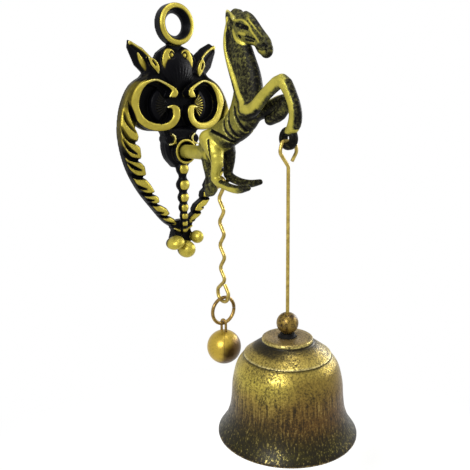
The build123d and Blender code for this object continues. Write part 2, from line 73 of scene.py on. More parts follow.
behind = Vector((math.sin(view_azimuth) * math.cos(view_pitch),
                 -math.cos(view_azimuth) * math.cos(view_pitch), math.sin(view_pitch)))
level_right = (-behind).cross(Vector((0, 0, 1))).normalized()
level_up = level_right.cross(-behind)
right = math.cos(view_roll) * level_right + math.sin(view_roll) * level_up
up = -math.sin(view_roll) * level_right + math.cos(view_roll) * level_up
camera = bpy.data.objects.new("camera", bpy.data.cameras.new("camera"))
camera.data.lens = view_lens
camera.data.clip_start = 0.01
camera.matrix_world = Matrix.Translation(view_place) @ Matrix((right, up, behind)).transposed().to_4x4()
bpy.context.scene.collection.objects.link(camera)
bpy.context.scene.camera = camera
bpy.context.scene.view_settings.view_transform = "Standard"
print("camera at", [round(value, 4) for value in view_place], "lens", view_lens)

# %% [markdown]
# ## Shader maths
#
# A finish is a small sum of masks and noises. Nodes say that slowly, so one class wraps a socket and lets
# it be added and multiplied like a number. Anything that isn't plain arithmetic goes through `add`, which
# takes the node's type, its settings and the values or links of its sockets.

# %% A socket that can be calculated with
class Tap:
    """One output socket. Operators add Math nodes, and add makes any other node in the same tree."""

    def __init__(self, tree, socket=None):
        self.tree = tree
        self.socket = socket

    def add(self, kind, settings=None, sockets=None, output=0):
        node = self.tree.nodes.new(kind)
        for name, value in (settings or {}).items():
            if name == "stops":
                ramp = node.color_ramp
                while len(ramp.elements) < len(value):
                    ramp.elements.new(1.0)
                for element, (place, colour) in zip(ramp.elements, value):
                    element.position = place
                    element.color = (*colour, 1.0)
            else:
                setattr(node, name, value)
        for name, value in (sockets or {}).items():
            if isinstance(value, Tap):
                self.tree.links.new(value.socket, node.inputs[name])
            else:
                node.inputs[name].default_value = value
        return Tap(self.tree, node.outputs[output])

    def math(self, operation, *values):
        return self.add("ShaderNodeMath", {"operation": operation}, dict(enumerate(values)))

    def __add__(self, other):
        return self.math("ADD", self, other)

    def __sub__(self, other):
        return self.math("SUBTRACT", self, other)

    def __rsub__(self, other):
        return self.math("SUBTRACT", other, self)

    def __mul__(self, other):
        return self.math("MULTIPLY", self, other)

    __radd__ = __add__
    __rmul__ = __mul__

    def step(self, low, high):
        """0 below low, 1 above high and a smooth rise between."""
        smooth = {"interpolation_type": "SMOOTHSTEP"}
        return self.add("ShaderNodeMapRange", smooth, {0: self, 1: low, 2: high})

    def mix(self, first, second):
        """A colour that goes from first to second as this value goes from 0 to 1."""
        colours = [(*value, 1.0) if isinstance(value, tuple) else value for value in (first, second)]
        return self.add("ShaderNodeMix", {"data_type": "RGBA"}, {0: self, 6: colours[0], 7: colours[1]}, 2)

    def ramp(self, *stops):
        return self.add("ShaderNodeValToRGB", {"stops": stops}, {0: self})

    def noise(self, scale, detail, roughness, stretch=(1.0, 1.0, 1.0)):
        """Noise over the object's own coordinates; scale is in lumps for each metre."""
        place = self.add("ShaderNodeTexCoord", output=3)
        place = self.add("ShaderNodeVectorMath", {"operation": "MULTIPLY"}, {0: place, 1: stretch})
        return self.add("ShaderNodeTexNoise", {}, {"Vector": place, "Scale": scale, "Detail": detail,
                                                   "Roughness": roughness})

    def attribute(self, name):
        return self.add("ShaderNodeAttribute", {"attribute_name": name}, output=2)

    def height(self):
        """Height above the origin, in metres, in the object's own coordinates."""
        place = self.add("ShaderNodeTexCoord", output=3)
        return self.add("ShaderNodeSeparateXYZ", {}, {0: place}, 2)

    def bump(self, strength, distance):
        """A normal that follows this value as a height."""
        return self.add("ShaderNodeBump", {}, {"Strength": strength, "Distance": distance, "Height": self})


def new_finish(name):
    """A material with an empty Principled shader, and a tap to build on."""
    material = bpy.data.materials.new(name)
    material.use_nodes = True
    return material, Tap(material.node_tree)


def wire_up(material, **sockets):
    """Set or link the sockets of a material's Principled shader; underscores stand for spaces."""
    shader = material.node_tree.nodes["Principled BSDF"]
    for name, value in sockets.items():
        socket = shader.inputs[name.replace("_", " ")]
        if isinstance(value, Tap):
            material.node_tree.links.new(value.socket, socket)
        else:
            socket.default_value = value


print("shader maths ready")

# %% [markdown]
# ## Light, background and floor
#
# The object hangs in front of pure white. The world is white for the camera and for reflections, so the
# brass mirrors it, and dimmer for everything else, so the lamps can still give shape. A strong soft lamp
# stands at the left, and weaker ones stand at the right, beside the wall and above.

# %% World
world_glow = 0.34
world = bpy.data.worlds.new("studio")
world.use_nodes = True
bpy.context.scene.world = world
sky = Tap(world.node_tree)
rays = sky.add("ShaderNodeLightPath").socket.node.outputs
seen = Tap(sky.tree, rays["Is Camera Ray"])
for ray in ("Is Glossy Ray", "Is Transmission Ray"):
    seen = sky.math("MAXIMUM", seen, Tap(sky.tree, rays[ray]))
backdrop = world.node_tree.nodes["Background"]
backdrop.inputs["Color"].default_value = (1.0, 1.0, 1.0, 1.0)
world.node_tree.links.new((seen * (1.0 - world_glow) + world_glow).socket, backdrop.inputs["Strength"])
print("world glow", world_glow)

# %% Lamps
middle = Vector((0.0, -0.045, -0.075))


def soft_lamp(name, place, size, watts):
    """A square lamp that points at the middle of the doorbell."""
    lamp = bpy.data.objects.new(name, bpy.data.lights.new(name, "AREA"))
    lamp.data.energy = watts
    lamp.data.size = size
    lamp.location = place
    lamp.rotation_euler = (middle - lamp.location).to_track_quat("-Z", "Y").to_euler()
    bpy.context.scene.collection.objects.link(lamp)


soft_lamp("key_lamp", Vector((-0.78, -0.40, 0.42)), 0.34, 9.5)
soft_lamp("side_lamp", Vector((0.60, -0.30, 0.16)), 0.30, 2.0)
soft_lamp("rim_lamp", Vector((0.62, 0.0, 0.02)), 0.22, 1.6)
soft_lamp("top_lamp", Vector((0.05, -0.15, 0.75)), 0.30, 2.6)
print("four lamps")

# %% [markdown]
# The floor lies well below the bell and takes its shadow. A real studio sheet would end somewhere and show
# its edge, so this one changes into a plain white glow round the shadow and can't be told from the
# background.

# %% Floor
floor_z = -0.26
floor_half = 1.6
shadow_centre = (0.0, -0.06, floor_z)
shadow_reach = 0.12
white_reach = 0.24
floor_mesh = bpy.data.meshes.new("floor")
corners = [(x * floor_half, y * floor_half, floor_z) for x, y in ((-1, -1), (1, -1), (1, 1), (-1, 1))]
floor_mesh.from_pydata(corners, [], [(0, 1, 2, 3)])
floor = bpy.data.objects.new("floor", floor_mesh)
bpy.context.scene.collection.objects.link(floor)
floor_paint, tap = new_finish("floor_paint")
from_bell = tap.add("ShaderNodeVectorMath", {"operation": "DISTANCE"},
                    {0: tap.add("ShaderNodeTexCoord", output=3), 1: shadow_centre}, 1)
wire_up(floor_paint, Base_Color=(0.9, 0.9, 0.89, 1.0), Roughness=0.9, Specular_IOR_Level=0.0)
floor_nodes = floor_paint.node_tree.nodes
white = floor_nodes.new("ShaderNodeEmission")
blend = floor_nodes.new("ShaderNodeMixShader")
for source, target in ((from_bell.step(shadow_reach, white_reach).socket, blend.inputs[0]),
                       (floor_nodes["Principled BSDF"].outputs[0], blend.inputs[1]),
                       (white.outputs[0], blend.inputs[2]),
                       (blend.outputs[0], floor_nodes["Material Output"].inputs[0])):
    floor_paint.node_tree.links.new(source, target)
floor_mesh.materials.append(floor_paint)
print("floor at", floor_z)

# %% [markdown]
# ## A block of clay
#
# The plate and the horse were cast from a carved pattern: rounded bands that melt into each other, with
# cut grooves. Joined meshes would show hard seams, so both are modelled as clay instead, on a grid that
# holds the distance to the surface. Two lumps melt together when the smaller distance is taken softly, and
# a tool cuts a groove by taking the larger. A second grid remembers how far each lump's patina was rubbed
# back.

# %% Clay
far = 6.0
hollow_limit = 2.0
hollow_reach = 0.9


def melt(first, second, width):
    """The smaller of two distances, with a rounded change from one to the other."""
    near = np.clip(1 - np.abs(first - second) / width, 0, 1)
    return np.minimum(first, second) - near * near * width / 4


def rise(value, low, high):
    """0 below low, 1 above high and a smooth rise between."""
    share = np.clip((value - low) / (high - low), 0, 1)
    return share * share * (3 - 2 * share)


class Clay:
    """A block on a grid, in millimetres: x along the wall, out from it and z up."""

    def __init__(self, low, high, step):
        self.low = np.array(low, float)
        self.step = step
        count = np.ceil((np.array(high) - self.low) / step).astype(int) + 1
        self.lines = [self.low[axis] + step * np.arange(count[axis]) for axis in range(3)]
        self.form = np.full(count, far, np.float32)
        self.tone = np.zeros(count, np.float32)
        self.cut = (slice(None),) * 3

    def reach(self, low=None, high=None):
        """Work on part of the block from now on, and give its x, out and z as open grids."""
        cuts = []
        grids = []
        for axis, line in enumerate(self.lines):
            start = 0 if low is None else int(np.searchsorted(line, low[axis]))
            stop = len(line) if high is None else int(np.searchsorted(line, high[axis]))
            cuts.append(slice(start, stop))
            grids.append(line[start:stop].reshape([-1 if other == axis else 1 for other in range(3)]))
        self.cut = tuple(cuts)
        return grids

    def add(self, shape, tone, width):
        """Melt a lump on over a width, and give its surface a tone."""
        form = self.form[self.cut]
        share = np.clip(0.5 + (form - shape) / (2 * self.step), 0, 1)
        self.tone[self.cut] += (tone - self.tone[self.cut]) * share
        self.form[self.cut] = melt(form, shape, width)

    def carve(self, shape, width):
        """Cut a shape away, and leave the cut black."""
        form = self.form[self.cut]
        share = np.clip(0.5 + (-shape - form) / (2 * self.step), 0, 1)
        self.tone[self.cut] *= 1 - share
        self.form[self.cut] = -melt(-form, shape, width)

    def press(self, distance, width, depth, tone=0.0):
        """Draw a groove of a width and depth along a line, with a tone inside it."""
        mark = 1 - rise(distance, 0, width)
        self.form[self.cut] += depth * mark
        self.tone[self.cut] += (tone - self.tone[self.cut]) * rise(mark, 0.1, 0.7)

    def mirror(self):
        """Add the left half, where the block holds only x from 0 up."""
        for name in ("form", "tone"):
            half = getattr(self, name)
            setattr(self, name, np.concatenate([half[:0:-1], half]))
        self.low[0] = -self.lines[0][-1]
        self.lines[0] = np.concatenate([-self.lines[0][:0:-1], self.lines[0]])

    def read(self, values, points):
        """Values of a grid at points, in between its nodes."""
        place = (points - self.low) / self.step
        base = np.clip(np.floor(place).astype(int), 0, np.array(values.shape) - 2)
        share = place - base
        total = np.zeros(len(points))
        for corner in np.ndindex(2, 2, 2):
            weight = np.prod(np.where(corner, share, 1 - share), axis=1)
            total += weight * values[tuple((base + corner).T)]
        return total

    def cast(self):
        """Points in millimetres and faces of the surface, with tone and hollowness at each point."""
        grid = openvdb.FloatGrid(far)
        grid.copyFromArray(np.clip(self.form, -far, far).astype(float))
        points, faces = grid.convertToQuads()
        points = self.low + points * self.step
        near_form = np.clip(self.form, -hollow_limit, hollow_limit)
        hollow = self.read(blur(near_form, round(hollow_reach / self.step)), points)
        return points, faces, self.read(self.tone, points), hollow


def blur(values, reach):
    """Mean over a small cube round each node of a grid: positive on a ridge and negative in a groove."""
    for axis in range(3):
        pads = [(reach + 1, reach) if other == axis else (0, 0) for other in range(3)]
        total = np.cumsum(np.pad(values, pads, mode="edge"), axis=axis)
        size = values.shape[axis]
        upper = np.take(total, range(2 * reach + 1, 2 * reach + 1 + size), axis=axis)
        lower = np.take(total, range(size), axis=axis)
        values = (upper - lower) / (2 * reach + 1)
    return values


print("clay block ready")

# %% [markdown]
# ## Lines, outlines and lumps
#
# Ornament is drawn before it is carved: an outline, a band with a varying width, a graver's stroke. Each
# helper measures how far every grid point is from such a drawing. Smooth lines run through a few chosen
# points, so that the whole drawing stays short enough to read.

# %% Drawing helpers
def smooth_line(points, cuts=6):
    """Points on a smooth curve through the given ones; further columns are carried along."""
    points = np.array(points, float)
    ends = np.vstack([2 * points[0] - points[1], points, 2 * points[-1] - points[-2]])
    line = []
    for before, start, stop, after in zip(ends, ends[1:], ends[2:], ends[3:]):
        for cut in range(cuts):
            share = cut / cuts
            line.append(0.5 * (2 * start + (stop - before) * share
                               + (2 * before - 5 * start + 4 * stop - after) * share ** 2
                               + (3 * start - before - 3 * stop + after) * share ** 3))
    return np.vstack([line, points[-1:]])


def along(line, first, second):
    """Distance to a line in two coordinates, and its further columns at the nearest place."""
    best = None
    for start, stop in zip(line, line[1:]):
        run = stop - start
        length = max(run[0] ** 2 + run[1] ** 2, 1e-9)
        share = np.clip(((first - start[0]) * run[0] + (second - start[1]) * run[1]) / length, 0, 1)
        distance = np.hypot(first - start[0] - share * run[0], second - start[1] - share * run[1])
        carried = [start[column] + share * run[column] for column in range(2, len(start))]
        if best is None:
            best = [distance, *carried]
        else:
            nearer = distance < best[0]
            best = [np.where(nearer, new, old) for new, old in zip([distance, *carried], best)]
    return best if len(best) > 1 else best[0]


def outline(points, first, second):
    """Distance to a closed outline, negative inside."""
    line = np.array([*points, points[0]], float)
    distance = along(line, first, second)
    inside = np.zeros(np.broadcast(first, second).shape, bool)
    for start, stop in zip(line, line[1:]):
        crosses = (start[1] > second) != (stop[1] > second)
        rise_by = stop[1] - start[1] if stop[1] != start[1] else 1e-9
        inside ^= crosses & (first < start[0] + (second - start[1]) / rise_by * (stop[0] - start[0]))
    return np.where(inside, -distance, distance)


def slab(plan, out, height, edge):
    """A flat-backed lump of a height over a plan, with a rounded front edge."""
    side = plan + edge
    front = out - height + edge
    rounded = np.hypot(np.maximum(side, 0), np.maximum(front, 0))
    lump = rounded + np.minimum(np.maximum(side, front), 0) - edge
    return np.maximum(lump, -out)


def ball(centre, radius, x, out, z, squash=1.0):
    """A ball, or an egg whose height is its width times squash."""
    return np.sqrt((x - centre[0]) ** 2 + (out - centre[1]) ** 2 + ((z - centre[2]) / squash) ** 2) - radius


print("drawing helpers ready")

# %% [markdown]
# ## The scroll plate
#
# The plate is one casting with a flat back: a hanging eye, a leaf crest, two C-scrolls with shell fans, two
# twisted arms that meet at three balls, and a beaded stem. Its halves are nearly alike, so the right half is
# modelled and mirrored, and what differs is put on afterwards. The outer sizes are read from the packed
# plate's box, and the ornament is drawn in millimetres from the middle of the hanging eye.
#
# A lump's tone says how far its patina was rubbed: black keeps it, bare lost it where it faces the front,
# and what is bare all round lost it on its sides too.

# %% Start the plate
plate_low, plate_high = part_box("wall_plate")
plate_half = plate_high.x / mm
plate_top = plate_high.z / mm
plate_bottom = plate_low.z / mm
boss_out = -plate_low.y / mm
egg_reach = 12.2
back_margin = 0.9
grid_margin = 1.2
plate_grid = 0.39
past_middle = -4.0
black, bare, bare_all_round = 0.0, 1.0, 2.0
plate = Clay((0, -back_margin, plate_bottom - grid_margin),
             (plate_half + grid_margin, egg_reach + grid_margin, plate_top + grid_margin), plate_grid)
x, out, z = plate.reach()


def span_from(centre_x, centre_z):
    """Distance from an axis that stands out from the wall."""
    return np.hypot(x - centre_x, z - centre_z)


print("plate grid", plate.form.shape)

# %% [markdown]
# The web lies behind everything: crest, scroll discs and the vase that carries the boss. Over it stands
# the crest's shallow dome, combed into the fine strands of an acanthus leaf that fans up from its root.

# %% Web and crest
web_height = 3.2
scroll_centre = (14.8, -36.0)
scroll_disc = 11.2
crest_edge = [(past_middle, -7.5), (4.5, -9.5), (9.5, -12.5), (12.5, -17.5), (17.5, -22.0), (21.5, -26.5)]
vase_height = 6.0
vase_top = -46.0
vase_foot = -64.5
vase_edge = smooth_line([(10.5, vase_top), (8.2, -50.0), (8.6, -55.0), (7.2, -60.0), (3.2, vase_foot)])
web_edge = [*crest_edge, scroll_centre, *vase_edge, (past_middle, vase_foot)]
web = np.minimum(outline(web_edge, x, z), span_from(*scroll_centre) - scroll_disc)
plate.add(slab(web, out, web_height, 0.6), black, 0.6)
vase = outline([(past_middle, vase_top), *vase_edge, (past_middle, vase_foot)], x, z)
plate.add(slab(vase, out, vase_height, 1.6), black, 0.6)

crest_height = 7.0
crest_round = 13.8
crest_z = -20.5
leaf_root_z = -33.0
leaf_strands = 46
strand_depth = 0.24
leaf_angle = np.arctan2(x, z - leaf_root_z)
leaf_span = span_from(0, leaf_root_z)
strand = 0.5 + 0.5 * np.cos(leaf_angle * leaf_strands)
dome = ball((0, crest_height - crest_round, crest_z), crest_round, x, out, z)
dome = dome + strand_depth * strand * rise(leaf_span, 3, 6) * (1 - rise(leaf_span, 12, 16))
crest_plan = outline([*crest_edge, (past_middle, -30)], x, z) - 0.4
plate.add(np.maximum(np.maximum(dome, crest_plan), -out), black, 0.8)
print("web, vase and crest")

# %% [markdown]
# The hanging eye is a thick ring whose front rolls over into a bore that narrows towards the wall.

# %% Hanging eye
eye_outer = plate_top
eye_depth = 5.8
eye_mouth = 6.8
eye_bore = frame["record"]["mounts"][0]["dims"]["r_mm"]
eye_land = frame["record"]["mounts"][0]["dims"]["length_mm"]
eye_span = span_from(0, 0)
plate.add(slab(eye_span - eye_outer, out, eye_depth, 1.5), bare, 0.9)
cone = eye_bore + (eye_mouth - eye_bore) * np.clip((out - eye_land) / (eye_depth - eye_land), 0, 2)
plate.carve(eye_span - cone, 0.9)
print("eye bore", eye_bore)

# %% [markdown]
# A C-scroll is a rounded band that swells and thins along its way and leans back towards its outer side. Its
# two ends curl into blobs at the mouth. Behind it lies a shell: a low dome ribbed near the mouth, with a
# smooth rim, and a black gap round it. A line with a width at each of its points draws the band in one go,
# and the same helper draws the plate's smaller curls, buds and rims.

# %% Scrolls
scroll_height = 9.3
scroll_lean = 0.158
scroll_line = [(6.9, -32.0, 0.4), (4.9, -30.6, 2.0), (5.2, -28.6, 1.0), (9.5, -26.0, 0.6),
               (13.1, -24.8, 0.55), (16.7, -25.6, 0.7), (19.6, -27.2, 1.2), (22.1, -30.2, 1.7),
               (23.6, -33.9, 2.1), (23.6, -37.2, 2.1), (22.1, -40.6, 1.9), (19.2, -43.6, 1.8),
               (15.6, -45.2, 1.8), (11.6, -45.7, 1.7), (8.0, -45.1, 1.7), (5.3, -43.2, 1.75),
               (4.0, -40.6, 1.8), (4.2, -37.9, 1.9), (5.8, -36.6, 1.0), (8.0, -36.7, 0.4)]
shell_centre = (6.5, -36.0)
shell_reach = 10.0
shell_ribs = 30
shell_half_angle = 1.0
shell_height = 3.4
shell_fall = 0.028
rib_depth = 0.7
gap_outer = 8.8
gap_inner = 8.7
gap_floor = 1.4
x, out, z = plate.reach((0, -1, -50), (30, 11, -21))


def raised_band(points, height, edge, width, tone=bare):
    """A band that stands up along points of (x, z, half width), melted on over a width."""
    offset, half_width = along(smooth_line(points, 4), x, z)
    plate.add(slab(offset - half_width, out, height, edge), tone, width)


shell_span = span_from(*shell_centre)
shell_angle = np.arctan2(z - shell_centre[1], x - shell_centre[0])
shell_top = web_height + shell_height - shell_fall * shell_span ** 2
rib = 0.5 + 0.5 * np.cos(shell_angle * shell_ribs)
rib_share = rise(shell_span, 0.5, 2.0) * (1 - rise(shell_span, 6.0, 7.2))
shell_plan = np.maximum(shell_span - shell_reach, (np.abs(shell_angle) - shell_half_angle) * shell_span)
shell = slab(shell_plan, out, shell_top + rib_depth * rib_share * (rib - 1), 0.5)
plate.add(shell, 1.1 * rib_share * rise(rib, 0.30, 0.70), 0.4)
gap = np.maximum(span_from(*scroll_centre) - gap_outer, gap_inner - shell_span)
plate.carve(np.maximum(gap, gap_floor - out), 0.6)
raised_band(scroll_line, scroll_height - scroll_lean * x, 1.0, 0.5)
print("scroll band and shell")

# %% [markdown]
# Small work on the crest: a curl with a bright ring and a dot, its tail, and a pointed ear whose hollow is
# dark under a bright upper rim.

# %% Curls and ears
x, out, z = plate.reach((0, -1, -27), (27, 9, -6))
curl = (4.4, -13.4)
curl_height = 4.9
curl_bed_radius = 3.4
curl_radius = 2.5
curl_span = span_from(*curl)
plate.add(slab(curl_span - curl_bed_radius, out, curl_height - 0.6, 0.9), black, 0.4)
plate.add(slab(curl_span - curl_radius, out, curl_height + 0.3, 0.6), bare, 0.3)
curl_tail = [(5.4, -12.6, 1.6), (6.6, -14.6, 1.5), (7.2, -16.8, 1.1), (7.2, -19.6, 0.3)]
raised_band(curl_tail, curl_height + 0.7 - 0.1 * x, 0.5, 0.3)
dot = (3.5, -13.6)
dot_radius = 1.35
dot_span = np.hypot((x - dot[0]) * 1.25, z - dot[1])
plate.press(np.abs(dot_span - dot_radius), 0.5, 0.6)

ear_edge = [(9.0, -21.0), (12.6, -15.4), (17.2, -11.0), (23.4, -8.0), (23.8, -11.0), (20.6, -18.2),
            (15.0, -23.4)]
ear_root_height = 5.9
ear_fall = 0.19
ear_height = ear_root_height - ear_fall * x
ear_hollow = [(14.6, -17.0), (18.0, -13.2), (21.6, -10.2)]
ear_rim = [(12.9, -16.0, 0.35), (17.2, -11.9, 0.45), (21.4, -9.4, 0.5), (22.8, -9.0, 0.9)]
plate.add(slab(outline(ear_edge, x, z) - 0.2, out, ear_height, 0.7), black, 0.4)
plate.press(along(smooth_line(ear_hollow, 4), x, z), 1.4, 0.5)
raised_band(ear_rim, ear_height + 0.5, 0.4, 0.2)
print("curls and ears")

# %% [markdown]
# Each arm is a twisted rope flattened on its back. Thick strands end bluntly at the scalloped inner edge,
# with full slots between them, and each strand has a closed slot along its middle. The slots are drawn as
# short strokes, which is how a graver would cut them.

# %% Arms
arm_outer = smooth_line([(15.0, -21.5), (23.8, -26.8), (28.8, -35.5), (30.9, -46.0), (30.0, -56.0),
                         (27.1, -65.5), (22.0, -74.8), (15.3, -83.5), (10.0, -89.8), (6.6, -92.6)])
arm_inner = [(17.5, -27.0), (21.8, -32.0), (22.6, -40.0), (22.2, -46.0), (21.7, -49.5), (22.7, -52.4),
             (21.1, -54.5), (20.8, -58.5), (21.7, -60.3), (19.3, -63.0), (18.8, -66.5), (19.6, -68.0),
             (16.6, -71.5), (14.6, -74.8), (15.0, -76.0), (12.7, -77.8), (12.3, -80.0), (12.7, -81.0),
             (8.6, -83.5), (7.0, -86.0), (7.4, -87.2), (4.4, -89.2), (3.4, -92.0)]
arm_height = 5.0
arm_edge = 1.7
full_slots = [[(30.4, -45.0), (28.9, -48.5), (26.6, -51.0), (22.2, -52.6)],
              [(30.3, -53.5), (29.0, -56.8), (26.5, -59.2), (21.2, -60.3)],
              [(28.6, -62.8), (27.0, -65.6), (24.2, -67.5), (19.0, -68.0)],
              [(24.2, -72.2), (22.2, -74.6), (19.2, -75.9), (14.2, -76.0)],
              [(20.2, -78.4), (18.2, -80.0), (15.4, -81.0), (12.0, -80.9)],
              [(14.6, -85.2), (12.3, -86.8), (10.0, -87.5), (6.8, -87.1)],
              [(9.8, -90.4), (8.0, -91.8), (5.6, -92.6), (2.5, -93.2)]]
full_slot_depth = 2.4
closed_slots = [[(28.9, -39.0), (27.8, -43.0), (24.0, -47.4)], [(30.1, -50.4), (27.4, -54.6), (23.7, -57.1)],
                [(28.6, -60.4), (25.4, -63.0), (21.8, -64.5)], [(24.9, -70.5), (22.2, -72.5), (19.3, -73.4)],
                [(20.2, -77.5), (18.0, -78.6), (15.8, -78.9)], [(16.0, -83.9), (13.6, -85.0), (11.0, -85.4)],
                [(10.7, -89.2), (8.2, -90.6), (5.2, -91.2)]]
closed_slot_depth = 2.0
root_slot = [(26.6, -34.0), (25.6, -38.5), (23.8, -43.5), (21.2, -48.4)]
root_slot_width = 1.0
root_slot_depth = 2.6
x, out, z = plate.reach((0, -1, -96), (plate_half + 1, 8, -20))
arm = outline([*arm_outer, *arm_inner[::-1]], x, z)
plate.add(slab(arm, out, arm_height, arm_edge), bare - 0.7 * rise(z, -41.0, -33.0), 0.3)


def graver_cut(points, half_width, depth, blunt):
    """A groove along a stroke: pointed at its start, and blunt or pointed at its end."""
    widths = [0.25, *([1.0] * (len(points) - 2)), 1.0 if blunt else 0.35]
    stroke = smooth_line([(*point, width * half_width) for point, width in zip(points, widths)], 5)
    offset, width = along(stroke, x, z)
    return np.hypot(offset, (arm_height - out) * half_width / depth) - width


for slot in full_slots:
    slot_width = 0.52 + 0.30 * rise(slot[0][1], -85, -60)
    plate.carve(graver_cut(slot, slot_width, full_slot_depth, True), 0.5)
for slot in closed_slots:
    slot_width = 0.40 + 0.32 * rise(slot[0][1], -80, -55)
    plate.carve(graver_cut(slot, slot_width, closed_slot_depth, False), 0.45)
plate.carve(graver_cut(root_slot, root_slot_width, root_slot_depth, True), 0.6)
print("arms with", len(full_slots) + len(closed_slots), "slots a side")

# %% [markdown]
# At the foot the arms and the stem run together, and the middle one of three round-fronted balls stands on
# them. The stem is a row of beads that get smaller downwards, and the boss above it is a deep ring that
# takes the horse's post.

# %% Foot and middle ball
x, out, z = plate.reach((0, -1, plate_bottom - grid_margin), (14, egg_reach + grid_margin, -44))
foot_height = 4.2
foot_edge = [(past_middle, -89.8), (4.0, -90.2), (6.2, -92.4), (4.8, -95.0), (5.8, -98.0), (6.4, -100.4),
             (3.2, -102.6), (past_middle, -103.4)]
foot_line = [(5.4, -93.7, 0.3), (3.5, -94.5, 0.4), (1.2, -95.6, 0.3)]
plate.add(slab(outline(foot_edge, x, z), out, foot_height, 1.0), black, 0.5)
raised_band(foot_line, foot_height + 0.7, 0.4, 0.3)


def egg(centre_x, centre_out, centre_z, half_width, half_height, length, tilt=0.0):
    """An egg that reaches out from the wall, turned in the wall's plane and melted onto the foot."""
    level = (x - centre_x) * math.cos(tilt) + (z - centre_z) * math.sin(tilt)
    upright = (z - centre_z) * math.cos(tilt) - (x - centre_x) * math.sin(tilt)
    scaled = np.hypot(np.hypot(level / half_width, upright / half_height), (out - centre_out) / length)
    plate.add((scaled - 1) * half_height, bare_all_round, 0.3)


egg(0, 6.6, -104.2, 4.2, 4.2, 5.0)
print("foot and middle ball")

# %% Stem and boss
stem_out = 5.2
stem_top = -60.0
stem_foot = -96.0
stem_neck = 1.3 + 0.6 * rise(z, -92.0, -70.0)
stem_beads = [(-65.4, 3.1), (-72.9, 3.3), (-79.0, 2.8), (-83.9, 2.5), (-88.0, 2.1), (-91.7, 1.8),
              (-94.9, 1.6)]
bead_squash = 1.02
neck = np.hypot(x, out - stem_out) - stem_neck
plate.add(np.maximum(neck, np.maximum(z - stem_top, stem_foot - z)), black, 0.5)
for bead_z, radius in stem_beads:
    belt = rise(0.74 * radius - np.abs(z - bead_z), 0.0, 0.5)
    worn = 1.1 * belt * rise((out - stem_out) / radius, 0.35, 0.65)
    plate.add(ball((0, stem_out, bead_z), radius, x, out, z, bead_squash), worn, 0.9)

boss_z = -57.0
boss_radius = 5.9
boss_recess = 4.5
boss_floor = 5.0
boss_span = span_from(0, boss_z)
plate.add(slab(boss_span - boss_radius, out, boss_out, 0.8), bare, 0.5)
plate.carve(np.maximum(boss_span - boss_recess, boss_floor - out), 0.4)

lower_curl = (6.9, -51.2)
lower_curl_radius = 2.3
lower_curl_height = 6.8
lower_curl_line = [(6.3, -48.9, 0.35), (4.9, -50.2, 0.5), (4.8, -52.0, 0.5), (5.9, -53.3, 0.5),
                   (8.0, -53.6, 0.35)]
plate.add(slab(span_from(*lower_curl) - lower_curl_radius, out, lower_curl_height, 0.7), black, 0.3)
raised_band(lower_curl_line, lower_curl_height + 1.1, 0.4, 0.2, 1.3)
print("stem with", len(stem_beads), "beads, and boss")

# %% [markdown]
# From behind, a countersunk hole goes through the boss for the screw that holds the horse. Then the back is
# cut flat, and the half becomes a whole.

# %% Screw hole, flat back and mirror
screw_hole = 1.65
sink_radius = 3.3
cut_over = 1.0
sink = boss_span - np.maximum(screw_hole, sink_radius - np.maximum(out, 0))
plate.carve(np.maximum(sink, out - boss_floor - cut_over), 0.2)
x, out, z = plate.reach()
plate.form = np.maximum(plate.form, -out).astype(np.float32)
plate.mirror()
print("both halves")

# %% [markdown]
# The pattern was carved by hand, so its two sides aren't quite alike. The outer balls differ, the almond
# buds lean differently, the left ear holds a bright lobe, and the right ear has a thick wall that shows from
# the left.

# %% What differs between the sides
x, out, z = plate.reach((-14, -1, plate_bottom - grid_margin), (14, egg_reach + grid_margin, -90))
egg(-6.4, 6.9, -100.1, 4.3, 3.1, 5.2, 0.32)
egg(6.4, 6.6, -99.0, 2.9, 3.2, 4.0, -0.20)

ear_wall = [(8.6, -17.0), (11.4, -12.8), (15.6, -9.4), (20.4, -7.0), (22.8, -8.4), (17.2, -12.4),
            (12.6, -16.4)]
ear_wall_height = 1.6
x, out, z = plate.reach((6, -1, -20), (27, 6, -5))
plate.add(slab(outline(ear_wall, x, z), out, ear_wall_height, 0.6), black, 0.6)

lobe = [(-19.4, -13.4, 0.4), (-18.2, -16.0, 1.1), (-16.9, -18.4, 1.2), (-16.2, -20.4, 0.6)]
left_bud = [(-15.2, -15.2, 0.4), (-13.2, -17.0, 1.6), (-11.4, -19.2, 1.5), (-10.6, -21.6, 0.4)]
left_vein = [(-13.4, -16.4), (-12.0, -18.2)]
right_bud = [(13.9, -14.6, 0.4), (13.6, -17.0, 1.6), (12.6, -19.6, 1.5), (11.9, -22.2, 0.5)]
right_vein = [(13.9, -17.0), (13.2, -19.2)]
lobe_height = 2.9
bud_height = 4.9
x, out, z = plate.reach((-24, 1.5, -25), (20, 9, -10))
raised_band(lobe, lobe_height, 0.5, 0.2)
for bud, vein in ((left_bud, left_vein), (right_bud, right_vein)):
    raised_band(bud, bud_height, 0.4, 0.2)
    plate.press(along(smooth_line(vein, 4), x, z), 0.7, 0.7)
print("plate modelled")

# %% [markdown]
# The finish of both castings is worked out point by point. The patina is black, and rubbing brings the gold
# back on what stands proud and faces the front, so grooves and side walls stay black. The left shell is
# painted darker than the right, a painted shade, and the arms' outer shoulders are rubbed to a dull gold.

# %% Casting helpers
def place_piece(name, mesh, body, node):
    """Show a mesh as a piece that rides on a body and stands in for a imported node."""
    mesh.shade_smooth()
    piece = bpy.data.objects.new(name, mesh)
    bpy.context.scene.collection.objects.link(piece)
    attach(piece, body)
    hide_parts(node)
    print(name, "has", 2 * len(mesh.polygons), "triangles")
    return piece


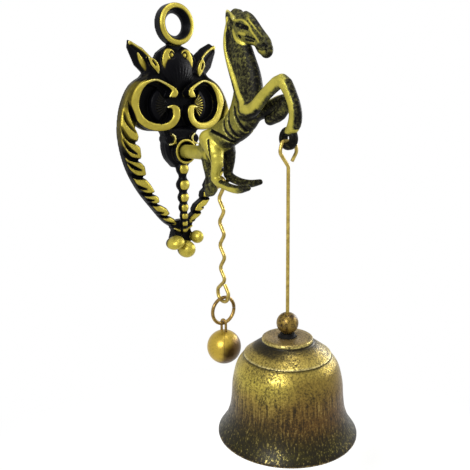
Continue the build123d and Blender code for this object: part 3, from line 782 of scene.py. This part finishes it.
def cast_mesh(name, points, faces, tone, hollow):
    """A mesh in metres from points in millimetres, with its tone and hollow stored for the finish."""
    mesh = bpy.data.meshes.new(name)
    coordinates = np.column_stack([points[:, 0], -points[:, 1], points[:, 2]]) * mm
    mesh.from_pydata(coordinates.tolist(), [], faces.tolist())
    mesh.update()
    corner = coordinates[faces[:, :3]]
    volume = np.einsum("ij,ij->", corner[:, 0], np.cross(corner[:, 1], corner[:, 2]))
    if volume < 0:
        mesh.flip_normals()
    for label, values in (("tone", tone), ("hollow", hollow)):
        mesh.attributes.new(label, "FLOAT", "POINT").data.foreach_set("value", values.astype(np.float32))
    return mesh


def facing(points, faces):
    """The outward normal at each point, as x, out and z."""
    quads = points[faces]
    normals = np.cross(quads[:, 2] - quads[:, 0], quads[:, 3] - quads[:, 1])
    total = np.zeros_like(points)
    for corner in range(4):
        np.add.at(total, faces[:, corner], normals)
    total /= np.maximum(np.linalg.norm(total, axis=1, keepdims=True), 1e-9)
    outwards = np.einsum("ij,ij->", total, points - points.mean(axis=0))
    return total if outwards > 0 else -total


print("casting helpers ready")

# %% Cast and rub the plate
points, faces, tone, hollow = plate.cast()
point_x, point_out, point_z = points.T
front = facing(points, faces)[:, 1]
turned_away = 0.12 + 0.24 * rise(-point_z, 40, 48)
rubbed = np.minimum(tone, 1) * rise(front, turned_away, turned_away + 0.38)
rubbed += np.maximum(tone - 1, 0) * rise(front, -0.5, 0.1)
rubbed = np.clip(rubbed, 0, 1) * rise(point_out, 0.6, 1.6)

left_shell = np.hypot(point_x + shell_centre[0], point_z - shell_centre[1]) < shell_reach
# the left shell is painted darker than the right, a painted shade
left_shell_shade = 0.30
rubbed = rubbed * np.where(left_shell & (point_out < scroll_height - 2), left_shell_shade, 1.0)

shoulder = rise(np.abs(point_x), 15, 19) * rise(point_z, -62, -48) * (1 - rise(point_z, -27, -22))
scroll_span = np.hypot(np.abs(point_x) - scroll_centre[0], point_z - scroll_centre[1])
shoulder *= rise(scroll_span, scroll_disc - 1.0, scroll_disc + 0.2)
shoulder *= rise(point_out, 0.3, 1.2) * rise(front, -0.6, 0.2)
shoulder_tone = 0.54
rubbed = np.maximum(rubbed, shoulder_tone * shoulder)
plate_piece = place_piece("scroll_plate_casting",
                          cast_mesh("scroll_plate_casting", points, faces, rubbed, hollow),
                          "bracket", "wall_plate")

# %% [markdown]
# ## The rearing horse
#
# The horse is a casting too. A trunk, a neck and a head are smooth skins over ellipses, and legs, tail and
# mane are chains of tapering rolls. They melt together like wax, and the graver then cuts ribs, eye and jaw.

# %% Horse helpers
horse_low, horse_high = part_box("horse")
horse_grid = 0.31
beyond_flank = 12.0
horse_start = np.array((horse_low.x, -horse_high.y, horse_low.z)) / mm - grid_margin
horse_stop = np.array((horse_high.x, -horse_low.y, horse_high.z)) / mm + grid_margin
horse = Clay(horse_start, horse_stop, horse_grid)


def skin(sections, tone, width):
    """A smooth body through sections of (out, z, half width, half height), seen from the side."""
    line = smooth_line(sections, 5)
    margin = line[:, 3].max() + 2
    start = line[:, :2].min(axis=0) - margin
    stop = line[:, :2].max(axis=0) + margin
    x, out, z = horse.reach((-beyond_flank, *start), (beyond_flank, *stop))
    offset, half_width, half_height = along(line, out, z)
    ring = np.hypot(x / half_width, offset / half_height)
    horse.add((1 - 1 / np.maximum(ring, 0.05)) * np.hypot(x, offset), tone, width)


def roll(stations, tone, width, side=1):
    """A chain of tapering rolls through (x, out, z, radius); a side of -1 mirrors it."""
    line = smooth_line(stations, 3)
    line[:, 0] *= side
    margin = line[:, 3].max() + width + 1
    x, out, z = horse.reach(line[:, :3].min(axis=0) - margin, line[:, :3].max(axis=0) + margin)
    shape = np.inf
    for start, stop in zip(line, line[1:]):
        run = stop - start
        span = max(run[:3] @ run[:3], 1e-9)
        passed = (x - start[0]) * run[0] + (out - start[1]) * run[1] + (z - start[2]) * run[2]
        share = np.clip(passed / span, 0, 1)
        distance = np.sqrt((x - start[0] - share * run[0]) ** 2 + (out - start[1] - share * run[1]) ** 2
                           + (z - start[2] - share * run[2]) ** 2)
        shape = np.minimum(shape, distance - start[3] - share * run[3])
    horse.add(shape, tone, width)


print("horse grid", horse.form.shape)

# %% Trunk, neck and head
dark, olive, dull, gold = 0.24, 0.36, 0.66, 1.0
hollow_tone = 0.05
trunk_and_neck = [(25.0, -54.0, 3.4, 3.6), (30.6, -51.9, 4.9, 5.4), (36.6, -49.5, 5.2, 6.2),
                  (43.8, -46.4, 5.1, 6.4), (50.0, -42.3, 5.2, 7.3), (54.0, -36.3, 4.9, 8.2),
                  (54.4, -28.0, 4.2, 7.3), (51.6, -20.0, 3.7, 6.6), (49.0, -12.5, 3.3, 5.5),
                  (47.6, -7.0, 3.0, 4.2)]
head = [(46.6, -2.6, 2.6, 3.2), (50.0, -4.9, 3.3, 4.7), (54.0, -7.2, 3.5, 5.4), (57.6, -9.3, 3.0, 4.7),
        (61.3, -11.6, 2.3, 3.6), (64.1, -14.5, 2.4, 3.7), (65.6, -16.3, 2.2, 3.0)]
poll = [(0, 47.2, -0.6, 1.6), (0, 49.6, -0.8, 1.2)]
forelock = [(0, 53.6, -1.9, 1.2), (0, 56.6, -3.6, 1.2), (0, 60.2, -7.0, 0.7)]
ear_front = [(2.6, 45.2, 0.1, 0.6), (3.0, 47.6, -1.5, 0.8), (3.2, 50.2, -3.6, 0.9)]
ear_rear = [(2.6, 45.0, -0.2, 0.6), (3.0, 45.6, -3.0, 0.8), (3.0, 47.0, -6.4, 0.9)]
ear_cup = [(2.2, 46.4, -1.6, 1.1), (2.4, 47.6, -3.4, 1.3), (2.4, 48.6, -5.6, 1.3)]
mane = [(2.4, 45.2, -4.5, 0.9), (2.8, 44.4, -9.0, 1.1), (3.0, 44.6, -14.0, 1.2), (3.0, 46.4, -20.0, 1.2),
        (3.3, 49.4, -26.0, 1.3), (3.8, 53.0, -32.2, 1.5), (4.1, 57.4, -37.9, 1.9)]
skin(trunk_and_neck, dull, 1.0)
skin(head, olive, 0.7)
roll(poll, olive, 0.9)
roll(forelock, olive, 0.7)
for side in (-1, 1):
    roll(ear_cup, hollow_tone, 0.7, side)
    roll(ear_front, gold, 0.3, side)
    roll(ear_rear, gold, 0.3, side)
    roll(mane, gold, 0.9, side)
print("trunk, neck and head")

# %% Legs and tail
raised_foreleg = [(-3.8, 56.5, -38.8, 3.0), (-4.0, 62.2, -38.2, 2.7), (-3.9, 69.5, -32.6, 2.4),
                  (-3.8, 78.2, -28.2, 2.6), (-3.6, 83.2, -34.2, 2.3), (-3.3, 84.8, -39.5, 2.4),
                  (-2.7, 83.6, -43.6, 2.5), (-2.3, 81.0, -46.4, 2.0)]
folded_foreleg = [(3.6, 54.5, -39.5, 3.4), (3.8, 62.0, -38.2, 3.2), (3.8, 71.0, -35.6, 3.0),
                  (3.8, 69.0, -40.0, 2.6), (3.7, 63.5, -42.2, 2.3)]
near_hind_leg = [(-3.2, 31.0, -50.4, 4.0), (-3.6, 35.6, -54.4, 4.0), (-4.0, 38.2, -60.0, 2.6),
                 (-4.0, 36.8, -67.2, 1.9), (-4.0, 44.0, -69.6, 1.75), (-4.0, 52.0, -70.4, 1.7),
                 (-4.0, 58.6, -69.0, 1.3)]
far_hind_leg = [(3.2, 31.4, -50.6, 4.2), (3.8, 35.4, -54.8, 3.6), (4.0, 36.4, -60.0, 2.6),
                (4.0, 35.6, -66.0, 2.1), (4.0, 42.5, -68.4, 1.8), (4.0, 50.0, -68.8, 1.7),
                (4.0, 56.8, -67.5, 1.2)]
tail = [(0, 26.4, -55.0, 2.8), (0, 26.2, -61.0, 2.7), (0, 27.4, -66.8, 2.2), (0, 28.2, -72.4, 3.0),
        (0, 25.8, -75.2, 1.5)]
roll(raised_foreleg, gold, 1.6)
roll(folded_foreleg, dark, 1.4)
roll(near_hind_leg, gold, 1.4)
roll(far_hind_leg, dark, 1.2)
roll(tail, olive, 1.0)
print("legs and tail")

# %% [markdown]
# The post runs back into the plate's boss, a thin bar between the hocks carries the wavy wire, and the
# raised hoof is a ring with bevelled edges that the bell's wire goes through. The bar and the ring are put
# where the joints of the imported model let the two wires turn.

# %% Post, bar and ring hoof
joints = {joint["name"]: joint["pos_m"] for joint in frame["record"]["behaviour"]["joints"]}
post_radius = 3.1
post_end = 28.0
screw_bore = 1.5
screw_reach = 12.7
x, out, z = horse.reach((-5, 3.5, -62), (5, 31, -52))
post_span = span_from(0, boss_z)
post = np.maximum(post_span - post_radius, np.maximum(boss_floor - out, out - post_end))
horse.add(post, gold, 1.6)
horse.carve(np.maximum(post_span - screw_bore, out - screw_reach), 0.1)

bar_out = -joints["striker_swing"][1] / mm
bar_z = joints["striker_swing"][2] / mm
bar_radius = 1.2
bar_half = 3.6
x, out, z = horse.reach((-5, 32, -73), (5, 39, -65))
bar = np.hypot(out - bar_out, z - bar_z) - bar_radius
horse.add(np.maximum(bar, np.abs(x) - bar_half), dark, 0.3)

hoof_x = joints["bell_swing"][0] / mm
hoof_out = -joints["bell_swing"][1] / mm
hoof_z = -48.8
hoof_radius = 4.3
hoof_hole = 1.8
hoof_half = 1.7
hoof_bevel = 0.9
hoof_tone = 0.02
x, out, z = horse.reach((-6, 74, -55), (3, 87, -42))
hoof_span = np.hypot(out - hoof_out, z - hoof_z)
rim_gap = hoof_span - hoof_radius
side_gap = np.abs(x - hoof_x) - hoof_half
bevel_gap = (rim_gap + side_gap + hoof_bevel) * math.sqrt(0.5)
horse.add(np.maximum(np.maximum(rim_gap, side_gap), bevel_gap), hoof_tone, 0.3)
horse.carve(hoof_span - hoof_hole, 0.3)
print("post, bar and ring hoof")

# %% [markdown]
# Graver work on both flanks: grooves between the ribs, the folds of flank and thigh, and on the head an
# almond eye with a painted glint, a cheek pit, the lines of the cheek, the mouth and the nostril.

# %% Graver work
def engrave(points, width, depth, low, tone=0.0):
    """A groove seen from the side, cut into both flanks beyond a distance from the middle."""
    line = smooth_line(points, 4)
    start = line.min(axis=0) - width - 1
    stop = line.max(axis=0) + width + 1
    for near, beyond in ((-beyond_flank, -low), (low, beyond_flank)):
        x, out, z = horse.reach((near, *start), (beyond, *stop))
        horse.press(along(line, out, z), width, depth, tone)


ribs = [[(51.4, -37.6), (53.0, -41.5), (55.2, -46.6)], [(47.1, -39.5), (48.5, -44.6), (50.4, -48.5)],
        [(43.5, -41.6), (45.2, -45.8), (47.8, -49.3)]]
flank_fold = [(34.7, -46.8), (39.5, -47.8), (43.9, -49.4), (48.9, -52.6)]
thigh_fold = [(35.4, -50.6), (36.6, -53.2), (37.2, -56.2), (37.2, -59.4)]
eye_socket = [(51.6, -5.8), (54.4, -6.6), (57.4, -7.7)]
cheek_pit = [(52.2, -10.0), (53.0, -10.6)]
upper_cheek_line = [(56.2, -10.4), (58.8, -11.2), (61.4, -12.2)]
lower_cheek_line = [(56.0, -11.7), (58.6, -12.4), (60.6, -13.0)]
nostril = [(66.0, -14.4), (66.9, -15.2)]
mouth = [(62.4, -15.6), (64.6, -16.4), (67.2, -16.4)]
for rib_groove in ribs:
    engrave(rib_groove, 1.15, 1.3, 1.0)
engrave(flank_fold, 1.1, 1.3, 1.0)
engrave(thigh_fold, 0.65, 0.6, 1.0, 0.10)
engrave(eye_socket, 1.35, 0.9, 1.4)
engrave(cheek_pit, 0.8, 0.8, 1.4)
engrave(upper_cheek_line, 0.5, 0.5, 1.0)
engrave(lower_cheek_line, 0.45, 0.45, 1.0)
engrave(nostril, 0.7, 0.8, 0.6)
engrave(mouth, 0.5, 0.5, 0.6)

eyeball_radius = 1.05
glint_radius = 0.3
x, out, z = horse.reach((-6, 52, -11), (6, 60, -4))
for side in (-1, 1):
    horse.add(ball((side * 2.7, 54.6, -6.8), eyeball_radius, x, out, z), black, 0.2)
    # a small gold dot on each eyeball is a painted glint
    horse.add(ball((side * 3.7, 54.3, -6.4), glint_radius, x, out, z), gold, 0.1)
print("ribs, thigh and head")

# %% [markdown]
# Now the horse is cast and its patina is rubbed. The neck, the belly and the back's edge stay dark. The
# brightest lines were rubbed by hand: the mane's edge that runs down the shoulder and out along the foreleg,
# the brow, the nose, the jaw and the cheek. They are brushed onto the cast points as soft strokes.

# %% Cast the horse
points, faces, tone, hollow = horse.cast()
point_x, point_out, point_z = points.T
face_out, face_up = facing(points, faces)[:, 1:].T
flank = rise(np.abs(point_x), 1.0, 2.0)
print("horse has", len(points), "points")

# %% Neck, belly and back
neck_edge = [(45.5, -5), (49, -5), (53, -13), (58, -15), (66, -36), (60, -39), (55, -32), (50, -22),
             (46.5, -13)]
neck_share = 1 - rise(outline(neck_edge, point_out, point_z), -0.6, 0.9)
neck_tone = 0.30
tone = tone + (neck_tone - tone) * neck_share * (tone < 0.9)
belly = rise(-face_up, 0.25, 0.75) * rise(point_out, 38, 44) * (point_z > -54) * (point_z < -34)
tone = tone * (1 - 0.85 * belly * (point_out < 66))
back_line = rise(-face_out, 0.35, 0.8) * (point_z > -46) * (point_out < 57)
tone = tone * (1 - 0.7 * back_line)
print("mean tone", round(tone.mean(), 3))

# %% Bright lines
def brush(tone, stroke, width, value, soft):
    """The tone after a brush stroke along a line seen from the side, on the flanks alone."""
    distance = along(smooth_line(stroke, 4), point_out, point_z)
    return tone + (value - tone) * (1 - rise(distance, width, width + soft)) * flank


mane_edge = [(46.0, -3.0), (44.4, -8.0), (44.8, -14.0), (46.8, -20.0), (50.6, -26.0), (54.0, -31.6),
             (58.8, -38.0)]
foreleg_edge = [(58.8, -38.0), (62.8, -37.8), (67.6, -33.0), (73.0, -28.8)]
tone = brush(tone, mane_edge, 2.2, neck_tone, 0.8)
tone = brush(tone, mane_edge, 0.55, gold, 0.55)
tone = brush(tone, foreleg_edge, 1.2, gold, 0.9)

face_edge = [(48.8, -4.0), (54, -4.2), (57.6, -6), (64, -12), (63, -14.5), (53, -13.5), (48.5, -8)]
face_share = 1 - rise(outline(face_edge, point_out, point_z), -0.8, 0.4)
face_tone = 0.54
tone = tone + (face_tone - tone) * face_share * flank * (tone > 0.25)
breast = rise(face_out, 0.35, 0.85) * (point_out < 62) * (point_z > -36)
tone = tone * (1 - 0.45 * breast)

brow = [(50.0, -3.7), (51.4, -4.2), (54.4, -4.3), (57.6, -6.2), (60.0, -9.4), (63.6, -13.2)]
nose_line = [(57.2, -4.2), (60.8, -7.6), (64.8, -11.4)]
muzzle = [(63.4, -16.8), (65.4, -18.0)]
jaw = [(49.0, -7.6), (50.4, -10.6), (52.8, -12.5), (56.6, -13.3), (61.0, -13.6)]
lip_line = [(64.0, -16.6), (66.2, -17.0)]
cheek = [(53.2, -9.1), (56.2, -9.9)]
hind_foot = [(41.8, -67.6), (48.0, -68.6), (56.0, -68.6)]
for stroke, width, value, soft in ((brow, 0.15, gold, 0.4), (nose_line, 0.05, 0.85, 0.35),
                                   (muzzle, 1.0, 0.60, 0.8), (jaw, 0.35, 0.95, 0.5),
                                   (lip_line, 0.4, 0.8, 0.8), (cheek, 0.3, 0.95, 0.5),
                                   (hind_foot, 0.6, 0.24, 0.6)):
    tone = brush(tone, stroke, width, value, soft)
print("mean tone", round(tone.mean(), 3))

# %% Dark hoofs, shin and elbow
toe = rise(point_out, 51, 57) * (point_z < -62)
toe_tone = 0.22
tone = tone + (toe_tone - tone) * toe
shin = rise(face_out, 0.30, 0.70) * rise(point_out, 74, 79) * (point_z > -45.5)
tone = tone * (1 - 0.75 * shin)
elbow = rise(-face_up, 0.45, 0.85) * rise(point_out, 60, 63) * (point_z > -43)
tone = np.clip(tone * (1 - 0.7 * elbow), 0, 1)
horse_piece = place_piece("rearing_horse_casting",
                          cast_mesh("rearing_horse_casting", points, faces, tone, hollow),
                          "bracket", "horse")

# %% [markdown]
# ## Patina rubbed to gold
#
# Both castings share one finish with other settings: a black or olive patina, thin gold where it was rubbed
# through, and speckle where the two meet. Hollows keep more patina, and sharp edges get a paler line, a
# painted highlight. The shades run from what keeps its patina to what is rubbed bare.

# %% Patina finish
patina_grain = 420.0
edge_highlight_gold = (0.68, 0.63, 0.30)


def patina(name, shades, speckle, break_up):
    """Patina over gold with painted edge highlights, from the tone and hollow stored on the casting."""
    material, tap = new_finish(name)
    tone = tap.attribute("tone")
    hollow = tap.attribute("hollow")
    fine = tap.noise(patina_grain * 2.2, 4.0, 0.7)
    coarse = tap.noise(patina_grain * 0.5, 3.0, 0.6)
    grit = tap.noise(patina_grain * 8, 2.0, 0.5)
    tone = tone + (fine - 0.5) * speckle * (1.2 - tone) + (coarse - 0.5) * break_up - 0.06
    tone = tone - (1 - hollow.step(-0.45, -0.05)) * 0.6
    mask = tone.math("MINIMUM", tone.math("MAXIMUM", tone, 0.0), 1.0)
    # a painted highlight: a paler line along sharp ridges of the rubbed gold
    edge = hollow.step(0.20, 0.42) * mask.step(0.45, 0.8)
    colour = (edge * 0.70).mix(mask.ramp(*shades), edge_highlight_gold)
    normal = (grit * 0.4 + fine).bump(0.35, 0.0003)
    wire_up(material, Base_Color=colour, Metallic=mask.step(0.3, 0.8) * 0.6, Roughness=0.26 + fine * 0.22,
            Normal=normal, Specular_IOR_Level=0.05)
    return material


plate_shades = [(0.0, (0.0016, 0.0016, 0.0024)), (0.28, (0.008, 0.007, 0.004)),
                (0.50, (0.085, 0.068, 0.010)), (0.74, (0.26, 0.205, 0.024)), (1.0, (0.44, 0.365, 0.060))]
horse_shades = [(0.0, (0.0025, 0.0025, 0.002)), (0.20, (0.012, 0.011, 0.006)),
                (0.40, (0.060, 0.058, 0.020)), (0.70, (0.22, 0.20, 0.034)), (1.0, (0.42, 0.365, 0.060))]
plate_piece.data.materials.append(patina("plate_patina", plate_shades, 0.34, 0.40))
horse_piece.data.materials.append(patina("horse_patina", horse_shades, 1.7, 0.55))
print("patina on both castings")

# %% [markdown]
# ## The turned bell
#
# The bell is spun and turned brass: a flat crown with a rolled edge, a short cone, a thin ledge, and a body
# that drops and flares to a rolled lip. It is one profile turned round the wire, drawn again here with its
# small steps and rolls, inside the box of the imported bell. The black washer above it has a waist, and the
# same function turns it.

# %% Bell profile
bell_low, bell_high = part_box("bell_shell")
bell_centre = Vector(((bell_low.x + bell_high.x) / 2, (bell_low.y + bell_high.y) / 2, 0))
lip_z = bell_low.z / mm
crown_z = bell_high.z / mm
lip_radius = (bell_high.x - bell_low.x) / 2 / mm
bell_bore = 0.76
crown_radius = 10.1
ledge_radius = 17.35
ledge_z = -133.0
ledge_height = ledge_z - lip_z
wall = 1.7
crown_top = [(bell_bore, crown_z), (6.0, crown_z), (8.6, crown_z - 0.05), (9.6, crown_z - 0.12),
             (crown_radius - 0.05, crown_z - 0.45)]
crown_side = smooth_line([(crown_radius, crown_z - 0.9), (10.4, crown_z - 2.0), (11.9, crown_z - 2.9),
                          (14.7, crown_z - 4.9), (ledge_radius - 0.2, ledge_z + 0.15)], 6)
ledge = [(ledge_radius, ledge_z), (ledge_radius, ledge_z - 0.3), (ledge_radius - 0.35, ledge_z - 0.42)]
body_shape = [(20.3, 0.86), (21.9, 0.67), (22.4, 0.48), (23.2, 0.31), (25.0, 0.16)]
body_side = smooth_line([(ledge_radius + 0.35, ledge_z - 0.75),
                         *[(radius, lip_z + share * ledge_height) for radius, share in body_shape],
                         (lip_radius - 0.35, lip_z + 1.2)], 8)
rolled_lip = [(lip_radius, lip_z + 0.7), (lip_radius, lip_z + 0.25), (lip_radius - 0.35, lip_z),
              (lip_radius - wall + 0.2, lip_z), (lip_radius - wall, lip_z + 0.5)]
inner_side = body_side[::-1][4:] - (wall, 0)
crown_under = [(11.4, crown_z - 4.0), (8.9, crown_z - wall), (bell_bore, crown_z - wall)]
bell_profile = [*crown_top, *crown_side, *ledge, *body_side, *rolled_lip, *inner_side, *crown_under]
print("bell profile has", len(bell_profile), "points")

# %% Turn the bell and the washer
def turned_piece(name, profile, centre, turns, body, node):
    """A closed profile of radius and height in millimetres, turned round an upright axis."""
    angles = [2 * math.pi * turn / turns for turn in range(turns)]
    points = []
    for radius, height in profile:
        for angle in angles:
            points.append((centre.x + radius * mm * math.cos(angle),
                           centre.y + radius * mm * math.sin(angle), height * mm))
    faces = []
    for row in range(len(profile)):
        start = row * turns
        below = (row + 1) % len(profile) * turns
        for turn in range(turns):
            beside = (turn + 1) % turns
            faces.append((start + turn, below + turn, below + beside, start + beside))
    mesh = bpy.data.meshes.new(name)
    mesh.from_pydata(points, [], faces)
    mesh.update()
    return place_piece(name, mesh, body, node)


bell = turned_piece("turned_bell", bell_profile, bell_centre, 288, "bell", "bell_shell")
washer_low, washer_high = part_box("bead_washer")
washer_radius = (washer_high.x - washer_low.x) / 2 / mm
washer_top = washer_high.z / mm
washer_foot = washer_low.z / mm
washer_bore = 0.8
washer_profile = [(washer_bore, washer_top), (0.74 * washer_radius, washer_top),
                  (0.80 * washer_radius, washer_top - 0.15), (0.64 * washer_radius, washer_top - 0.6),
                  (0.92 * washer_radius, washer_foot + 0.35), (washer_radius, washer_foot + 0.15),
                  (washer_radius, washer_foot), (washer_bore, washer_foot)]
washer = turned_piece("waisted_washer", washer_profile, bell_centre, 64,
                      "bell_hanger", "bead_washer")

# %% [markdown]
# The bell's brass was darkened and then brushed, with upright scratches over the lower two thirds. A ramp
# over the height gives its zones: dark under the crown's edge, mottled gold on the shoulder, brown in the
# middle and dark olive at the lip, with painted highlights on the crown's rolled edge and on the ledge, and
# a painted shadow line under the ledge. Noise breaks the zones up, and stretched noise makes the scratches.
# The bell is also painted browner towards its right and black under the crown's edge at its left, both
# painted shade. The brass also mirrors the studio, so its darkened parts and the painted shadow are made
# less metallic and a little rougher.

# %% Zones of the bell
def across(tap, centre, radius):
    """-1 at the photograph's left edge of a round piece, 0 in its middle and 1 at its right edge."""
    place = tap.add("ShaderNodeTexCoord", output=3)
    from_centre = tap.add("ShaderNodeVectorMath", {"operation": "SUBTRACT"}, {0: place, 1: centre})
    sideways = tuple(level_right / radius)
    return tap.add("ShaderNodeVectorMath", {"operation": "DOT_PRODUCT"}, {0: from_centre, 1: sideways}, 1)


bell_brass, tap = new_finish("bell_brass_finish")
waist_radius = 24 * mm
share = tap.add("ShaderNodeMapRange", {}, {0: tap.height(), 1: lip_z * mm, 2: crown_z * mm})
side = across(tap, bell_centre, waist_radius)
speck = tap.noise(1300.0, 4.0, 0.7)
cloud = tap.noise(85.0, 4.0, 0.6)
scratch = tap.noise(1300.0, 3.0, 0.65, (1.0, 1.0, 0.035))

lip_shades = [(0.0, (0.30, 0.22, 0.10)), (0.012, (0.26, 0.19, 0.08)), (0.022, (0.012, 0.009, 0.005))]
body_shades = [(0.07, (0.040, 0.036, 0.010)), (0.20, (0.048, 0.036, 0.012)), (0.36, (0.11, 0.070, 0.022)),
               (0.52, (0.26, 0.180, 0.040)), (0.68, (0.46, 0.37, 0.065)), (0.80, (0.36, 0.275, 0.055))]
# the ledge gets a painted highlight line, with a painted shadow line just under it
ledge_highlight_and_shadow = [(0.822, (0.012, 0.010, 0.005)), (0.831, (0.60, 0.50, 0.20)), (0.842, (0.36, 0.275, 0.062))]
cone_shades = [(0.91, (0.28, 0.205, 0.046)), (0.95, (0.030, 0.024, 0.010)), (0.966, (0.015, 0.012, 0.007))]
# the crown's rolled edge gets a painted highlight, then the crown's top follows
crown_highlight_and_shades = [(0.974, (0.56, 0.46, 0.14)), (0.994, (0.42, 0.32, 0.10)), (1.0, (0.30, 0.205, 0.07))]
wander = (cloud - 0.5) * 0.22 * share.step(0.05, 0.2) * (1 - share.step(0.62, 0.78))
zones = (share + wander).ramp(*lip_shades, *body_shades, *ledge_highlight_and_shadow, *cone_shades, *crown_highlight_and_shades)

mottled_side = side + (cloud - 0.5) * 0.9
# the bell is painted browner towards its right side, a painted shade
right_side_shade = mottled_side.step(-0.35, 0.15) * (1 - share.step(0.70, 0.84)) * share.step(0.1, 0.35)
zones = (right_side_shade * 0.7).mix(zones, (0.120, 0.062, 0.018))
below_crown = share.step(0.87, 0.91) * (1 - share.step(0.958, 0.972))
# a painted shadow: black under the crown's edge on the left side
shadow = (1 - mottled_side.step(-0.30, 0.15)) * below_crown
zones = (shadow * 0.92).mix(zones, (0.006, 0.005, 0.003))
print("bell zones")

# %% Grime and scratches of the bell
brushed = 1 - share.step(0.48, 0.72)
dirt = (speck - 0.5) * 1.9 + (scratch - 0.5) * 2.0 * brushed + (cloud - 0.5) * 0.9
grime = (dirt + 0.22 * (1 - share.step(0.10, 0.45))).step(-0.28, 0.42)
darkened = (grime * 0.92).mix(zones, (0.010, 0.008, 0.004))
bright = (0.5 - scratch) * 1.3 * brushed + (0.5 - speck) * 1.1
colour = (bright.step(0.08, 0.42) * 0.42).mix(darkened, (0.50, 0.40, 0.13))
normal = (scratch * 0.6 + speck * 0.5).bump(0.25, 0.0003)
# metal and roughness follow the grime and the painted shadow under the crown
grime_and_shadow = grime.math("MAXIMUM", grime, shadow)
roughness = 0.22 + speck * 0.2 + grime_and_shadow * 0.1
wire_up(bell_brass, Base_Color=colour, Metallic=0.74 - grime_and_shadow * 0.6, Roughness=roughness, Normal=normal,
        Specular_IOR_Level=0.12)
bell.data.materials.append(bell_brass)
print("bell finish")

# %% [markdown]
# ## Wires, bead, ring and ball
#
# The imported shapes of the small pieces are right, so they only need their metal. Drawn wire is bright, the
# ring is darker with age, and the bead is mottled. One function makes all but the ball's finish, from a
# light and a dark shade, how blotchy the metal is, how fine its blotches are, and how rough it is.

# %% Small brass
def aged_metal(name, light, deep, blotch, spots, roughness, metallic=0.6, specular=0.2):
    """Metal that has gone dark in blotches and specks; spots is in blotches for each metre."""
    material, tap = new_finish(name)
    cloud = tap.noise(spots, 3.0, 0.6)
    speck = tap.noise(spots * 8, 3.0, 0.6)
    mask = ((cloud - 0.5) * blotch + (speck - 0.5) * blotch * 0.8 + 0.5).step(0.25, 0.8)
    wire_up(material, Base_Color=mask.mix(light, deep), Metallic=metallic,
            Roughness=roughness + speck * 0.12, Normal=speck.bump(0.18, 0.0001),
            Specular_IOR_Level=specular)
    return material


wire_brass = aged_metal("wire_brass_finish", (0.46, 0.35, 0.085), (0.22, 0.155, 0.034), 1.0, 500.0, 0.26)
ring_brass = aged_metal("ring_brass_finish", (0.34, 0.22, 0.055), (0.11, 0.062, 0.018), 1.2, 300.0, 0.24)
bead_brass = aged_metal("bead_brass_finish", (0.22, 0.145, 0.030), (0.028, 0.015, 0.006), 2.4, 600.0, 0.28)
washer_brass = aged_metal("washer_brass_finish", (0.50, 0.40, 0.18), (0.30, 0.22, 0.08), 1.0, 500.0, 0.3)
washer_black = aged_metal("washer_black_finish", (0.012, 0.011, 0.010), (0.006, 0.006, 0.006), 1.0, 800.0,
                          0.5, 0.0, 0.04)
screw_steel = aged_metal("screw_steel_finish", (0.55, 0.55, 0.55), (0.36, 0.36, 0.36), 0.8, 800.0, 0.3, 0.9)
washer.data.materials.append(washer_black)
print("six small finishes")

# %% [markdown]
# The ball is painted golden at the left and above and dark at the right and below, which is painted light
# and shade, so its finish needs to know where it is on the ball. A thin dark seam runs down its middle.

# %% Ball brass
ball_low, ball_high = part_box("striker_ball")
ball_centre = (ball_low + ball_high) / 2
ball_radius = (ball_high.x - ball_low.x) / 2
ball_brass, tap = new_finish("ball_brass_finish")
side = across(tap, ball_centre, ball_radius)
cloud = tap.noise(130.0, 3.0, 0.55)
speck = tap.noise(1400.0, 3.0, 0.65)
low = tap.add("ShaderNodeMapRange", {}, {0: tap.height(), 1: ball_high.z, 2: ball_low.z})
# painted light and shade: golden at the left and above, dark at the right and below
ball_light_and_shade = (side * 0.9 + (low - 0.42) * 1.2 + (cloud - 0.5) * 1.2).step(-0.15, 0.50)
colour = ball_light_and_shade.mix((0.42, 0.29, 0.040), (0.085, 0.048, 0.014))
specks = ((speck - 0.5) * 1.2 + (cloud - 0.5) * 0.5).step(0.0, 0.5)
colour = specks.mix(colour, (0.10, 0.062, 0.016))
seam = 1 - side.math("ABSOLUTE", side - 0.04).step(0.0, 0.035)
colour = (seam * 0.5).mix(colour, (0.03, 0.018, 0.006))
wire_up(ball_brass, Base_Color=colour, Metallic=0.66, Roughness=0.28 + speck * 0.12,
        Normal=speck.bump(0.15, 0.0001), Specular_IOR_Level=0.25)
print("ball finish")

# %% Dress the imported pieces
def dress(node, material):
    """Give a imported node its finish."""
    mesh = frame["nodes"][node].data
    mesh.materials.clear()
    mesh.materials.append(material)
    for polygon in mesh.polygons:
        polygon.material_index = 0


finishes = {"bell_wire": wire_brass, "striker_wire": wire_brass, "jump_ring": ring_brass,
            "ball_staple": ring_brass, "top_bead": bead_brass, "striker_ball": ball_brass,
            "keeper_washer": washer_brass, "fixing_screw": screw_steel}
for node, material in finishes.items():
    dress(node, material)
print("dressed", len(finishes), "packed pieces")
